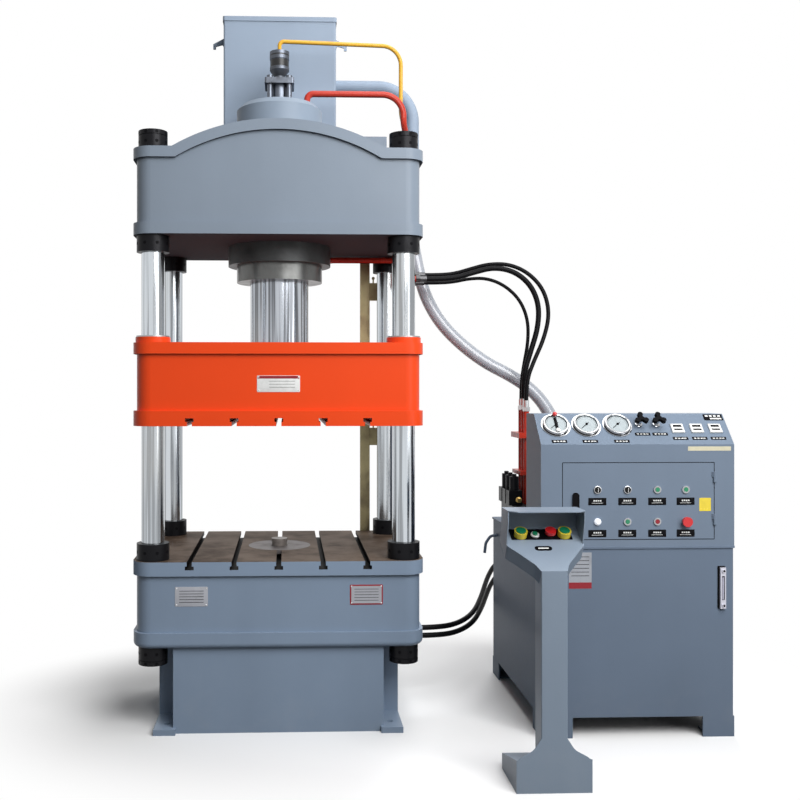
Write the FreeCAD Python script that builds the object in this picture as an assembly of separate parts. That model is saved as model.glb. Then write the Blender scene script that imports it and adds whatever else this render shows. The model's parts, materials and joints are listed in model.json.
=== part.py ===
import FreeCAD
import Part
import math
import os

# Four-column hydraulic press with its power unit and two-hand control stand.
# Millimetres. X right, Y to the back, Z up. The origin is the press centre on the floor.

# Clearances and general values
fit_gap = 0.3
running_gap = 0.3
pin_gap = 0.3
button_gap = 0.5
cutter_reach = 10.0
tiny = 1e-6

# Columns and the plates that they join
frame_width = 1256.0
frame_depth = 870.0
frame_corner_radius = 83.0
web_inset = 15.0
column_diameter = 100.0
column_inset_x = 84.0
column_inset_y = 82.0
column_recess = 2.0
column_half_x = frame_width / 2 - column_inset_x
column_half_y = frame_depth / 2 - column_inset_y

# Plinth under the bed
plinth_height = 368.0
plinth_wall = 12.0
plinth_front_margin = 176.5
plinth_depth_margin = 30.0
plinth_wing_margin = 93.0
plinth_wing_depth_margin = 220.0
foot_thickness = 25.0
foot_side_margin = 1.0
foot_depth_margin = 5.0
foot_overlap = 11.5
anchor_hole_diameter = 26.0
anchor_inset_x = 60.0
port_boss_diameter = 33.0
port_boss_length = 24.0
lower_port_heights = (341.0, 304.0)

# Bed and table
bed_band_height = 67.0
bed_band_inset = 1.0
bed_band_round = 22.0
bed_height = 310.0
table_thickness = 60.0
slot_count = 5
slot_pitch = 190.0
slot_neck_width = 22.0
slot_tee_width = 37.0
slot_tee_height = 16.0
slot_depth = 34.0

# Ejector in the bed
ejector_ring_diameter = 290.0
ejector_ring_thickness = 18.0
ejector_rod_diameter = 70.0
ejector_head_diameter = 76.0
ejector_head_height = 14.0
ejector_stand_out = 33.0
ejector_case_diameter = 200.0
ejector_case_bore = 120.0
ejector_case_bottom = 66.0
ejector_flange_diameter = 290.0
ejector_flange_thickness = 28.0
ejector_piston_height = 45.0
ejector_piston_bottom = 150.0
ejector_gland_height = 40.0
ejector_floor = 26.0

# Crown
crown_bottom = 2136.0
crown_flange_thickness = 51.0
crown_wall_height = 372.0
crown_rise = 122.0
crown_shoulder = crown_bottom + crown_wall_height
crown_top = crown_shoulder + crown_rise
crown_cap_thickness = 46.0
crown_arch_half_chord = 454.0
pipe_stand_width = 128.0
pipe_stand_depth = 14.0
pipe_stand_round = 6.0
pipe_stand_x = frame_width / 2 - 140.0
pipe_stand_y = frame_depth / 2 - 9.0
pipe_stand_height = 272.0

# Column nuts
inner_nut_diameter = 140.0
inner_nut_height = 72.0
outer_nut_diameter = 125.0
outer_nut_height = 56.0
lock_ring_height = 22.0
lock_groove_width = 3.0
lock_groove_depth = 4.0

# Main cylinder, ram and slide
cylinder_diameter = 400.0
cylinder_bore = 320.0
cylinder_flange_diameter = 480.0
cylinder_flange_height = 88.0
cylinder_stand_out = 170.0
cylinder_top = crown_top + cylinder_stand_out
cylinder_head_thickness = 38.0
cylinder_head_bevel = 26.0
gland_diameter = 400.0
gland_height = 76.0
ram_diameter = 274.0
ram_pocket_depth = 60.0
ram_flange_diameter = 360.0
ram_flange_height = 10.0
piston_height = 50.0
piston_bottom = crown_top - 200.0
slide_bottom = 1316.0
slide_plate_thickness = 65.0
slide_height = 358.0
slide_flange_thickness = 49.0
slide_boss_diameter = 150.0
slide_boss_height = 24.0
bush_diameter = 128.0
bush_lip_diameter = 144.0
bush_lip_height = 6.0
striker_length = 46.0
striker_height = 30.0
striker_gap = 6.0
striker_offset = 4.0

# Valves over the cylinder
prefill_width = 137.0
prefill_plate = 26.0
prefill_height = 124.0
prefill_round = 8.0
prefill_post_diameter = 26.0
prefill_post_inset = 24.0
prefill_body_diameter = 84.0
prefill_cap_diameter = 30.0
prefill_cap_height = 14.0
pilot_diameter = 92.0
pilot_neck_diameter = 50.0
pilot_neck_height = 21.0
pilot_cone_height = 29.0
pilot_ring_height = 12.0
pilot_waist_height = 34.0
pilot_waist_depth = 2.5
pilot_step = 2.0
pilot_height = 137.0

# Filling tank
fill_tank_width = 556.0
fill_tank_depth = 400.0
fill_tank_front = 215.0
fill_tank_bottom = crown_top + 20.0
fill_tank_height = 661.0
fill_tank_top = fill_tank_bottom + fill_tank_height
fill_tank_wall = 4.0
fill_tank_round = 10.0
fill_tank_gusset_inset = 40.0
fill_tank_gusset_drop = 80.0
fill_tank_gusset_toe = 10.0
fill_tank_rail_half_x = 150.0
fill_tank_rail_width = 40.0
fill_lid_overhang = 4.0
fill_lid_thickness = 3.0
fill_lid_lip = 20.0
lid_handle_diameter = 6.0
lid_handle_width = 64.0
lid_handle_height = 26.0
lid_handle_half_x = 37.0
lid_handle_bend = 6.0
hook_reach = 66.0
hook_thickness = 8.0
hook_height = 62.0
hook_root = 10.0
hook_tip_drop = 36.0
hook_tip_width = 14.0
hook_notch_inset = 16.0
hook_notch_height = 24.0
hook_notch_tip_height = 14.0
hook_top = fill_tank_top - 29.0
outlet_height = fill_tank_bottom + 383.0
overflow_pipe_x = frame_width / 2 + 58.0
overflow_pipe_end = crown_bottom + 194.0
overflow_pipe_bend = 180.0
overflow_pipe_sides = 24
filling_pipe_diameter = 70.0
filling_pipe_wall = 5.0
filling_flange_diameter = 120.0
filling_near_flange_diameter = 96.0
filling_flange_thickness = 14.0
filling_pipe_height = cylinder_top + 62.0

# Rigid pipes of the press
pilot_pipe_diameter = 19.0
pressure_pipe_diameter = 29.0
return_pipe_diameter = 29.0
pipe_sides = 12
pipe_drop_x = frame_width / 2 + 18.0
pipe_end_x = frame_width / 2 + 40.0
pipe_end_bend = 20.0
pipe_side_bend = 90.0
pipe_corner_x = frame_width / 2 - 40.0
pilot_corner_x = frame_width / 2 - 47.0
pilot_corner_bend = 22.0
pilot_drop_y = (50.0, 60.0)
pilot_drop_height = crown_shoulder + 292.0
pilot_side_height = crown_shoulder + 112.0
pressure_drop_y = (0.0, 10.0)
pressure_drop_height = crown_shoulder + 232.0
pressure_side_height = crown_shoulder + 82.0
pressure_bends = (30.0, 100.0, 60.0)
return_nut_gap = 28.5
return_run_y = column_half_y - inner_nut_diameter / 2 - return_nut_gap - return_pipe_diameter / 2
return_drop_shift = 10.0
return_pipe_y = return_run_y + return_drop_shift
pilot_pipe_spacing = 35.0
pilot_pipe_y = return_pipe_y - pilot_pipe_spacing
pressure_pipe_spacing = 55.0
pressure_pipe_y = pilot_pipe_y - pressure_pipe_spacing
return_start = (180.0, 155.0)
return_turn_x = 260.0
return_bends = (60.0, 45.0)
pilot_pipe_end = crown_bottom - 96.0
pressure_pipe_end = crown_bottom - 122.0
return_pipe_end = crown_bottom - 132.0
pressure_port_x = 130.0
pressure_run_height = cylinder_top + 68.0
pilot_run_height = cylinder_top + 314.0
return_run_height = crown_bottom - 22.0

# Scale rail with its limit switches
rail_x = column_half_x - 103.0
rail_y = frame_depth / 2 + 17.0
rail_width = 50.0
rail_thickness = 12.0
rail_drop = 48.0
rail_rise = 34.0
rail_foot_drop = 10.0
rail_head_gap = 4.0
switch_width = 40.0
switch_depth = 34.0
switch_height = 90.0
switch_heights = (1180.0, 1560.0, 1935.0)
switch_roller_diameter = 16.0
switch_arm_diameter = 8.0
switch_arm_length = 26.0
case_round = 3.0

# Oil tank of the power unit
unit_gap = 477.0
unit_left = frame_width / 2 + unit_gap
unit_width = 828.0
unit_right = unit_left + unit_width
unit_front = -520.0
unit_depth = 938.0
unit_foot_height = 87.0
unit_foot_width = 135.0
unit_foot_thickness = 8.0
unit_tank_top = 800.0
unit_corner_radius = 14.0
cover_thickness = 8.0
cover_overhang = 5.0
unit_sole_length = 108.0
side_hook_thickness = 14.0
side_hook_inset = 110.0
side_hook_bend = 30.0
side_hook_profile = ((0.0, 730.0), (36.0, 726.0), (60.0, 690.0), (66.0, 640.0))
level_x = unit_right - 53.0
level_middle = 632.0
level_length = 174.0
level_width = 25.0
level_depth = 14.0
level_window_width = 12.0
level_window_margin = 36.0
level_window_depth = 4.0
level_screw_diameter = 14.0
level_screw_height = 6.0
level_screw_inset = 14.0
unit_port_x = unit_left + 345.0
unit_port_heights = (596.0, 540.0)

# Panel box with its door
box_depth = 245.0
box_wall = 3.0
box_shoulder = 1240.0
box_top = 1366.0
box_slope_run = 115.0
door_left = unit_left + 93.0
door_right = unit_right - 88.0
door_bottom = unit_tank_top + cover_thickness + 32.0
door_top = box_shoulder - 78.0
door_height = door_top - door_bottom
door_gap = 2.0
door_wall = 2.0
door_return = 18.0
hinge_diameter = 10.0
hinge_pin_diameter = 5.0
hinge_length = 22.0
hinge_leaf = 9.0
hinge_pin_short = 3.0
hinge_heights = (door_bottom + 60.0, door_top - 82.0)
handle_x = door_left + 54.0
handle_place = 145.0 / 322.0
handle_middle = door_bottom + door_height * handle_place
handle_length = 104.0
handle_width = 28.0
handle_thickness = 9.0
handle_spindle = 14.0
handle_travel_gap = 0.5
handle_foot_round = 4.0
handle_top_round = 13.5
latch_depth = 14.0
latch_thickness = 4.0
latch_half_width = 8.0
latch_drop = 46.0
latch_rise = 8.0
gear_plate_margin_x = 20.0
gear_plate_margin_low = 10.0
gear_plate_margin_high = 30.0
gear_rail_margin = 50.0
gear_plate_thickness = 3.0
contactor_width = 45.0
contactor_depth = 80.0
contactor_nose = 32.0
contactor_nose_inset = 4.0
contactor_height = 75.0
contactor_count = 6
contactor_pitch = 60.0
rail_strip_height = 35.0
rail_strip_depth = 7.5

# Gauges, knobs and timers on the sloping panel
gauge_positions = (unit_left + 82.0, unit_left + 214.0, unit_left + 349.0)
gauge_slope_place = 0.61
gauge_flange_diameter = 126.0
gauge_face_diameter = 100.0
gauge_rim_height = 16.0
gauge_rim_width = 4.0
gauge_dial_drop = 6.0
gauge_flange_thickness = 3.0
gauge_body_diameter = 96.0
gauge_body_depth = 40.0
knob_positions = (unit_left + 442.0, unit_left + 518.0)
knob_slope_place = 0.62
knob_stem_diameter = 14.0
knob_stem_length = 48.0
knob_stem_depth = 30.0
knob_nut_diameter = 26.0
knob_nut_height = 8.0
knob_lobe_radius = 11.0
knob_lobe_reach = 21.0
knob_height = 16.0
knob_roof = 4.0
knob_bridge_width = 14.3
timer_positions = (unit_left + 606.0, unit_left + 689.0, unit_left + 770.0)
timer_slope_place = 0.50
timer_width = 54.0
timer_length = 48.0
timer_depth = 30.0
timer_hole_margin = 4.0
timer_body_margin = 4.5
timer_chamfer = 2.0
timer_stand_out = 8.0

# Push buttons
button_columns = (door_left + 147.0, door_left + 275.0, door_left + 403.0, door_left + 525.0)
button_row_places = (209.0 / 322.0, 74.0 / 322.0)
button_rows = tuple(door_bottom + door_height * place for place in button_row_places)
bezel_diameter = 32.0
bezel_height = 6.0
bezel_shank_diameter = 22.0
bezel_bore = 20.0
bezel_floor = 7.0
switch_body_length = 42.0
button_diameter = 19.0
button_stand_out = 4.0
button_travel = 3.0
selector_bar_length = 23.0
selector_bar_width = 6.0
selector_height = 13.0
lamp_diameter = 29.0
lamp_height = 14.0
lamp_round = 6.0
mushroom_diameter = 42.0
mushroom_stand_out = 26.0
mushroom_cap_height = 13.0
mushroom_stem_diameter = 18.0

# Motor, pump and valves on the tank cover
motor_diameter = 230.0
motor_length = 330.0
motor_x = unit_left + 455.0
motor_y = 40.0
motor_axis_height = 990.0
motor_fin_count = 20
motor_fin_height = 8.0
motor_fin_width = 5.0
motor_fin_start = 33.0
motor_fin_length = 231.0
motor_cowl_margin = 6.0
motor_cowl_length = 70.0
motor_cowl_overlap = 20.0
motor_foot_starts = (50.0, 231.0)
motor_foot_width = 40.0
motor_foot_half_depth = 100.0
junction_start = 100.0
junction_width = 100.0
junction_height = 50.0
bell_length = 120.0
bell_diameter = 190.0
pump_diameter = 120.0
pump_length = 130.0
valve_x = unit_left + 61.0
valve_y = 116.0
valve_width = 110.0
valve_depth = 260.0
manifold_height = 110.0
valve_size = 64.0
valve_depth_gap = 2.0
valve_offset = 18.0
valve_body_height = 70.0
manifold_chamfer = 4.0
solenoid_diameter = 44.0
solenoid_length = 66.0
override_diameter = 22.0
override_height = 12.0
valve_count = 3
valve_pitch = 80.0
riser_x = unit_left + 85.0
riser_places = (60.0, 112.0, 164.0)
riser_diameter = 26.0
riser_tops = (1366.0, 1374.0, 1370.0)
clamp_height = 26.0
clamp_middle = 1250.0
clamp_margin = 16.0
clamp_left_extra = 22.0
low_clamp_left_extra = 16.0
low_clamp_drop = 190.0
low_clamp_height = 18.2
breather_diameter = 80.0
breather_height = 35.0
breather_stem_diameter = 40.0
breather_stem_height = 35.0
breather_x = unit_right - 103.0
breather_y = 330.0

# Two-hand control stand
stand_gap = 383.0
stand_x = frame_width / 2 + stand_gap
stand_front = -1055.0
stand_width = 280.0
stand_base_depth = 235.0
stand_base_height = 122.0
stand_base_back = 60.0
stand_shoulder = 199.0
stand_wall = 4.0
stand_post_width = 97.0
stand_post_depth = 90.0
stand_bend = 811.0
stand_face_rise = 130.0
stand_face_run = 215.0
stand_head_width = 294.0
stand_head_thickness = 62.0
stand_full_width_at = 0.56
stand_hood_height = 1018.0
stand_hood_setback = 75.0
stand_hood_front_cut = 30.0
stand_hood_rear_drop = 37.2
stand_post_round = 4.0
stand_plate_low = 61.0
stand_plate_neck = 27.0
stand_plate_rise = 34.7
stand_plate_round = 40.0
stand_neck_round = 60.0
stand_flare = 14.0
stand_flare_end = 26.0
stand_flare_start = 0.14
stand_flare_margin = 0.12
stand_flare_round = 60.0
stand_shoulder_round = 16.0
cheek_height = 40.0
cheek_inset = 10.0
cheek_rise = 4.0
cheek_drop = 6.0
guard_diameter = 50.0
guard_bore = 40.0
guard_height = 24.0
guard_floor = 4.0
palm_diameter = 38.0
palm_stand_out = 2.0
palm_travel = 5.0
palm_half_pitch = 84.0
palm_slope_place = 0.80
start_offset = -28.0
stop_offset = 30.0

# Hoses: diameter, then the route by hand from the press to the power unit
clear_hose_diameter = 64.0
pilot_hose_diameter = 20.0
pressure_hose_diameter = 26.0
return_hose_diameter = 17.0
lower_hose_diameter = 25.0
ferrule_length = 52.0
ferrule_extra = 6.0
hose_nut_length = 20.0
hose_nut_extra = 11.0
spigot_x = unit_left + 275.0
spigot_y = 186.0
spigot_height = 110.0
spigot_flange_diameter = 110.0
spigot_flange_height = 14.0
arc_share = 0.45
hose_sides = 8
wire_sides = 8

up = FreeCAD.Vector(0, 0, 1)
right = FreeCAD.Vector(1, 0, 0)
back = FreeCAD.Vector(0, 1, 0)

# Derived places
bed_bottom = plinth_height
bed_top = bed_bottom + bed_height
table_top = bed_top + table_thickness
slide_top = slide_bottom + slide_height
slide_web_bottom = slide_bottom + slide_plate_thickness
flange_bottom = crown_bottom - cylinder_flange_height
gland_bottom = flange_bottom - gland_height
crown_arch_radius = (crown_arch_half_chord ** 2 + crown_rise ** 2) / (2 * crown_rise)
crown_arch_centre = crown_top - crown_arch_radius
locked_nut_height = outer_nut_height + lock_ring_height
column_bottom = bed_bottom - locked_nut_height + column_recess
column_top = crown_shoulder + locked_nut_height - column_recess
column_places = [
    (side * column_half_x, depth * column_half_y) for side in (-1, 1) for depth in (-1, 1)
]
plinth_wing_x = frame_width / 2 - plinth_wing_margin
plinth_wing_y = frame_depth / 2 - plinth_wing_depth_margin
plinth_front_x = frame_width / 2 - plinth_front_margin
plinth_front_y = frame_depth / 2 - plinth_depth_margin
slot_places = [(index - (slot_count - 1) / 2) * slot_pitch for index in range(slot_count)]
unit_back = unit_front + unit_depth
cover_top = unit_tank_top + cover_thickness
slope_rise = box_top - box_shoulder
slope_length = math.hypot(slope_rise, box_slope_run)
slope_normal = FreeCAD.Vector(0, -slope_rise / slope_length, box_slope_run / slope_length)
face_length = math.hypot(stand_face_rise, stand_face_run)
face_normal = FreeCAD.Vector(0, -stand_face_rise / face_length, stand_face_run / face_length)
face_up = FreeCAD.Vector(0, stand_face_run / face_length, stand_face_rise / face_length)
front = FreeCAD.Vector(0, -1, 0)

overflow_y = fill_tank_front + fill_tank_depth / 2
clear_hose_route = [
    (overflow_pipe_x, overflow_y, overflow_pipe_end),
    (overflow_pipe_x, overflow_y, 2240.0),
    (700.0, 399.0, 2150.0),
    (721.0, 378.0, 2033.0),
    (753.0, 360.0, 1926.0),
    (820.0, 338.0, 1805.0),
    (920.0, 314.0, 1699.0),
    (1036.0, 292.0, 1608.0),
    (1154.0, 270.0, 1546.0),
    (1229.0, 252.0, 1496.0),
    (1291.0, 240.0, 1439.0),
    (1339.0, 228.0, 1370.0),
    (1371.0, 217.0, 1293.0),
    (1385.0, 206.0, 1210.0),
    (1386.0, 196.0, 1120.0),
    (spigot_x, spigot_y, 1026.0),
    (spigot_x, spigot_y, cover_top + spigot_height),
]
pilot_hose_route = [
    (pipe_end_x + ferrule_length, pilot_pipe_y, pilot_pipe_end),
    (796.0, pilot_pipe_y, pilot_pipe_end),
    (872.0, 209.0, 2047.0),
    (950.0, 197.0, 2070.0),
    (1034.0, 184.0, 2092.0),
    (1134.0, 170.0, 2090.0),
    (1226.0, 150.0, 2044.0),
    (1296.0, 130.0, 1958.0),
    (1318.0, 112.0, 1840.0),
    (1284.0, 92.0, 1716.0),
    (1228.0, 74.0, 1604.0),
    (riser_x, riser_places[0], 1510.0),
    (riser_x, riser_places[0], riser_tops[0] + ferrule_length),
]
pressure_hose_route = [
    (pipe_end_x + ferrule_length, pressure_pipe_y, pressure_pipe_end),
    (796.0, pressure_pipe_y, pressure_pipe_end),
    (874.0, 160.0, 2022.0),
    (958.0, 158.0, 2048.0),
    (1050.0, 154.0, 2072.0),
    (1150.0, 150.0, 2054.0),
    (1230.0, 144.0, 1990.0),
    (1272.0, 138.0, 1892.0),
    (1266.0, 130.0, 1776.0),
    (1228.0, 122.0, 1660.0),
    (riser_x, riser_places[1], 1545.0),
    (riser_x, riser_places[1], riser_tops[1] + ferrule_length),
]
return_hose_route = [
    (pipe_end_x + ferrule_length, return_pipe_y, return_pipe_end),
    (794.0, return_pipe_y, return_pipe_end),
    (868.0, 248.0, 2009.0),
    (946.0, 243.0, 2026.0),
    (1034.0, 236.0, 2028.0),
    (1122.0, 226.0, 1992.0),
    (1196.0, 214.0, 1920.0),
    (1234.0, 202.0, 1820.0),
    (1232.0, 190.0, 1706.0),
    (1206.0, 176.0, 1590.0),
    (riser_x, riser_places[2], 1500.0),
    (riser_x, riser_places[2], riser_tops[2] + ferrule_length),
]
lower_hose_start = plinth_wing_x + port_boss_length + ferrule_length
lower_hose_end = unit_back + port_boss_length + ferrule_length
lower_hose_routes = [
    [
        (lower_hose_start, 0.0, lower_port_heights[0]),
        (745.0, 0.0, lower_port_heights[0]),
        (864.0, 86.0, 338.0),
        (966.0, 226.0, 354.0),
        (1040.0, 400.0, 396.0),
        (1078.0, 500.0, 430.0),
        (1124.0, 610.0, 470.0),
        (1182.0, 704.0, 512.0),
        (1286.0, 742.0, 548.0),
        (1392.0, 712.0, 576.0),
        (unit_port_x, 606.0, unit_port_heights[0]),
        (unit_port_x, lower_hose_end, unit_port_heights[0]),
    ],
    [
        (lower_hose_start, 0.0, lower_port_heights[1]),
        (743.0, 0.0, lower_port_heights[1]),
        (858.0, 80.0, 298.0),
        (964.0, 222.0, 308.0),
        (1044.0, 398.0, 344.0),
        (1086.0, 506.0, 374.0),
        (1136.0, 622.0, 412.0),
        (1198.0, 716.0, 452.0),
        (1302.0, 752.0, 490.0),
        (1402.0, 714.0, 520.0),
        (unit_port_x, 604.0, unit_port_heights[1]),
        (unit_port_x, lower_hose_end, unit_port_heights[1]),
    ],
]


def vector(x, y, z):
    return FreeCAD.Vector(x, y, z)


def box(x_low, x_high, y_low, y_high, z_low, z_high):
    """Rectangular block between two corners."""
    return Part.makeBox(x_high - x_low, y_high - y_low, z_high - z_low, vector(x_low, y_low, z_low))


def rod(diameter, length, base, axis=up):
    """Round bar that starts at base and runs along axis."""
    return Part.makeCylinder(diameter / 2, length, base, axis)


def corner_cut(before, corner, after, radius):
    """Start, middle and end of the arc that rounds a corner."""
    if radius < tiny:
        return corner, None, corner
    toward_before = (before - corner).normalize()
    toward_after = (after - corner).normalize()
    half_angle = toward_before.getAngle(toward_after) / 2
    trim = radius / math.tan(half_angle)
    bisector = (toward_before + toward_after).normalize()
    middle = corner + bisector * (radius / math.sin(half_angle) - radius)
    return corner + toward_before * trim, middle, corner + toward_after * trim


def joined_edges(cuts):
    """Straight edges and arcs along a row of rounded corners."""
    edges = []
    for index, (start, middle, end) in enumerate(cuts):
        if middle is not None:
            edges.append(Part.Arc(start, middle, end).toShape())
        if index + 1 < len(cuts):
            following = cuts[index + 1][0]
            if (following - end).Length > tiny:
                edges.append(Part.LineSegment(end, following).toShape())
    return edges


def rounded_face(corners, radii):
    """Planar face through the corners, each rounded to its own radius."""
    count = len(corners)
    cuts = [
        corner_cut(corners[index - 1], corners[index], corners[(index + 1) % count], radii[index])
        for index in range(count)
    ]
    cuts.append((cuts[0][0], None, cuts[0][0]))
    return Part.Face(Part.Wire(joined_edges(cuts)))


def rounded_slab(width, depth, radius, z_low, z_high, middle=(0.0, 0.0)):
    """Plate with rounded vertical edges."""
    half_x = width / 2
    half_y = depth / 2
    signs = ((-1, -1), (1, -1), (1, 1), (-1, 1))
    corners = [vector(middle[0] + sx * half_x, middle[1] + sy * half_y, z_low) for sx, sy in signs]
    return rounded_face(corners, [radius] * len(corners)).extrude(up * (z_high - z_low))


def bent_path(points, radii):
    """Wire of straight runs joined by tangent arcs."""
    cuts = [(points[0], None, points[0])]
    for index in range(1, len(points) - 1):
        cuts.append(corner_cut(points[index - 1], points[index], points[index + 1], radii[index - 1]))
    cuts.append((points[-1], None, points[-1]))
    return Part.Wire(joined_edges(cuts))


def tube_along(points, radii, diameter, sides=pipe_sides):
    """Rigid bent pipe or wire, drawn with flat sides."""
    path = bent_path(points, radii)
    return swept(path, points[0], points[1] - points[0], diameter, sides)


def swept(path, start, direction, diameter, sides):
    """Polygon of the round section's own area, swept along a wire as one solid."""
    step = 2 * math.pi / sides
    corner = diameter / 2 * math.sqrt(step / math.sin(step))
    turn = FreeCAD.Rotation(up, direction)
    corners = []
    for index in range(sides):
        angle = step * (index + 0.5)
        corners.append(start + turn.multVec(vector(corner * math.cos(angle), corner * math.sin(angle), 0)))
    outline = Part.makePolygon(corners + [corners[0]])
    return path.makePipeShell([outline], True, False)


def cord_radii(points):
    """Largest arc that each corner's two runs allow."""
    radii = []
    for index in range(1, len(points) - 1):
        arriving = points[index] - points[index - 1]
        leaving = points[index + 1] - points[index]
        shorter = min(arriving.Length, leaving.Length)
        radii.append(arc_share * shorter / math.tan(arriving.getAngle(leaving) / 2))
    return radii


def hose(name, route, diameter):
    """Free hose along its route; prints its bends and checks its volume."""
    points = [vector(*place) for place in route]
    radii = cord_radii(points)
    path = bent_path(points, radii)
    solid = swept(path, points[0], points[1] - points[0], diameter, hose_sides)
    length = path.Length
    expected = length * math.pi * diameter ** 2 / 4
    bends = " ".join(f"{radius:.0f}" for radius in radii)
    print(f"{name}: length {length:.0f}, bends {bends}, volume ratio {solid.Volume / expected:.4f}")
    return solid


def placed(shape, base, axis):
    """Shape built along Z at the origin, turned to axis and moved to base."""
    copy = shape.copy()
    copy.Placement = FreeCAD.Placement(base, FreeCAD.Rotation(up, axis))
    return copy


def fused(shapes):
    """One solid from pieces that touch or overlap."""
    result = shapes[0].multiFuse(shapes[1:])
    return result.removeSplitter()


def export(name, shape):
    """Write one sub-part."""
    shape.exportStep(os.path.join("parts", name + ".step"))


def column_bars(z_low, z_high, diameter):
    """Four round bars on the column axes."""
    return [rod(diameter, z_high - z_low, vector(x, y, z_low)) for x, y in column_places]


def tee_slots(face_height, direction):
    """T-slots across a plate; direction is 1 where the plate lies above its face."""
    cutters = []
    reach = frame_depth / 2 + web_inset
    neck = slot_depth - slot_tee_height
    for x in slot_places:
        levels = sorted((face_height - direction * tiny, face_height + direction * neck))
        cutters.append(box(x - slot_neck_width / 2, x + slot_neck_width / 2, -reach, reach, *levels))
        levels = sorted((face_height + direction * neck, face_height + direction * slot_depth))
        cutters.append(box(x - slot_tee_width / 2, x + slot_tee_width / 2, -reach, reach, *levels))
    return cutters


def plinth_cross(inset):
    """Cross-shaped block of the plinth's plan, drawn inward by inset."""
    wing_x = plinth_wing_x - inset
    wing_y = plinth_wing_y - inset
    front_x = plinth_front_x - inset
    front_y = plinth_front_y - inset
    plan = [
        (-front_x, -front_y), (front_x, -front_y), (front_x, -wing_y), (wing_x, -wing_y),
        (wing_x, wing_y), (front_x, wing_y), (front_x, front_y), (-front_x, front_y),
        (-front_x, wing_y), (-wing_x, wing_y), (-wing_x, -wing_y), (-front_x, -wing_y),
    ]
    corners = [vector(x, y, 0) for x, y in plan]
    return rounded_face(corners, [0.0] * len(corners)).extrude(up * plinth_height)


def foot_plate(side, depth):
    """Bolted-down foot in one of the plinth's corners."""
    x_pair = sorted((side * (plinth_front_x - foot_overlap), side * (plinth_wing_x - foot_side_margin)))
    y_pair = sorted((depth * (frame_depth / 2 - foot_depth_margin), depth * plinth_wing_y))
    anchor = vector(side * (column_half_x - anchor_inset_x), depth * column_half_y, 0)
    return box(*x_pair, *y_pair, 0, foot_thickness).cut(rod(anchor_hole_diameter, foot_thickness, anchor))


def make_plinth():
    """Welded plinth: a cross-shaped shell with foot plates and hose ports."""
    pieces = [plinth_cross(0.0).cut(plinth_cross(plinth_wall))]
    pieces += [foot_plate(side, depth) for side in (-1, 1) for depth in (-1, 1)]
    for height in lower_port_heights:
        pieces.append(rod(port_boss_diameter, port_boss_length, vector(plinth_wing_x, 0, height), right))
    return fused(pieces)


def make_bed():
    """Bed weldment with a rounded lower band."""
    band_width = frame_width - 2 * bed_band_inset
    band_depth = frame_depth - 2 * bed_band_inset
    band_top = bed_bottom + bed_band_height
    band = rounded_slab(band_width, band_depth, frame_corner_radius, bed_bottom, band_top)
    rims = [edge for edge in band.Edges if abs(edge.CenterOfMass.z - bed_bottom) < tiny]
    band = band.makeFillet(bed_band_round, rims)
    web_width = frame_width - 2 * web_inset
    web_depth = frame_depth - 2 * web_inset
    web = rounded_slab(web_width, web_depth, frame_corner_radius - web_inset, band_top, bed_top)
    body = fused([band, web])
    rod_bore = rod(ejector_rod_diameter + 2 * running_gap, bed_height, vector(0, 0, bed_bottom))
    return body.cut(column_bars(bed_bottom, bed_top, column_diameter + 2 * fit_gap) + [rod_bore])


def make_table_plate():
    """Machined table with T-slots and the ejector's recess."""
    plate = rounded_slab(frame_width, frame_depth, frame_corner_radius, bed_top, table_top)
    ring_seat = vector(0, 0, table_top - ejector_ring_thickness)
    recess = rod(ejector_ring_diameter + 2 * fit_gap, ejector_ring_thickness, ring_seat)
    rod_bore = rod(ejector_head_diameter + 2 * running_gap, table_thickness, vector(0, 0, bed_top))
    bores = column_bars(bed_top, table_top, column_diameter + 2 * fit_gap)
    return plate.cut(tee_slots(table_top, -1) + bores + [recess, rod_bore])


def arch_face(drop, bottom):
    """Front outline under the crown's arch, lowered by drop."""
    half = frame_width / 2 + web_inset
    shoulder = crown_shoulder - drop
    radius = crown_arch_radius - drop
    rise = shoulder - crown_arch_centre
    half_chord = math.sqrt(radius ** 2 - rise ** 2)
    y = -frame_depth / 2 - web_inset
    low_left = vector(-half, y, bottom)
    low_right = vector(half, y, bottom)
    high_left = vector(-half, y, shoulder)
    high_right = vector(half, y, shoulder)
    arch_left = vector(-half_chord, y, shoulder)
    arch_right = vector(half_chord, y, shoulder)
    arch_top = vector(0, y, crown_arch_centre + radius)
    edges = [
        Part.LineSegment(low_left, low_right).toShape(),
        Part.LineSegment(low_right, high_right).toShape(),
        Part.LineSegment(high_right, arch_right).toShape(),
        Part.Arc(arch_right, arch_top, arch_left).toShape(),
        Part.LineSegment(arch_left, high_left).toShape(),
        Part.LineSegment(high_left, low_left).toShape(),
    ]
    return Part.Face(Part.Wire(edges))


def arch_block(drop, bottom):
    """The arch outline run through the crown's depth."""
    return arch_face(drop, bottom).extrude(back * (frame_depth + 2 * web_inset))


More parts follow.
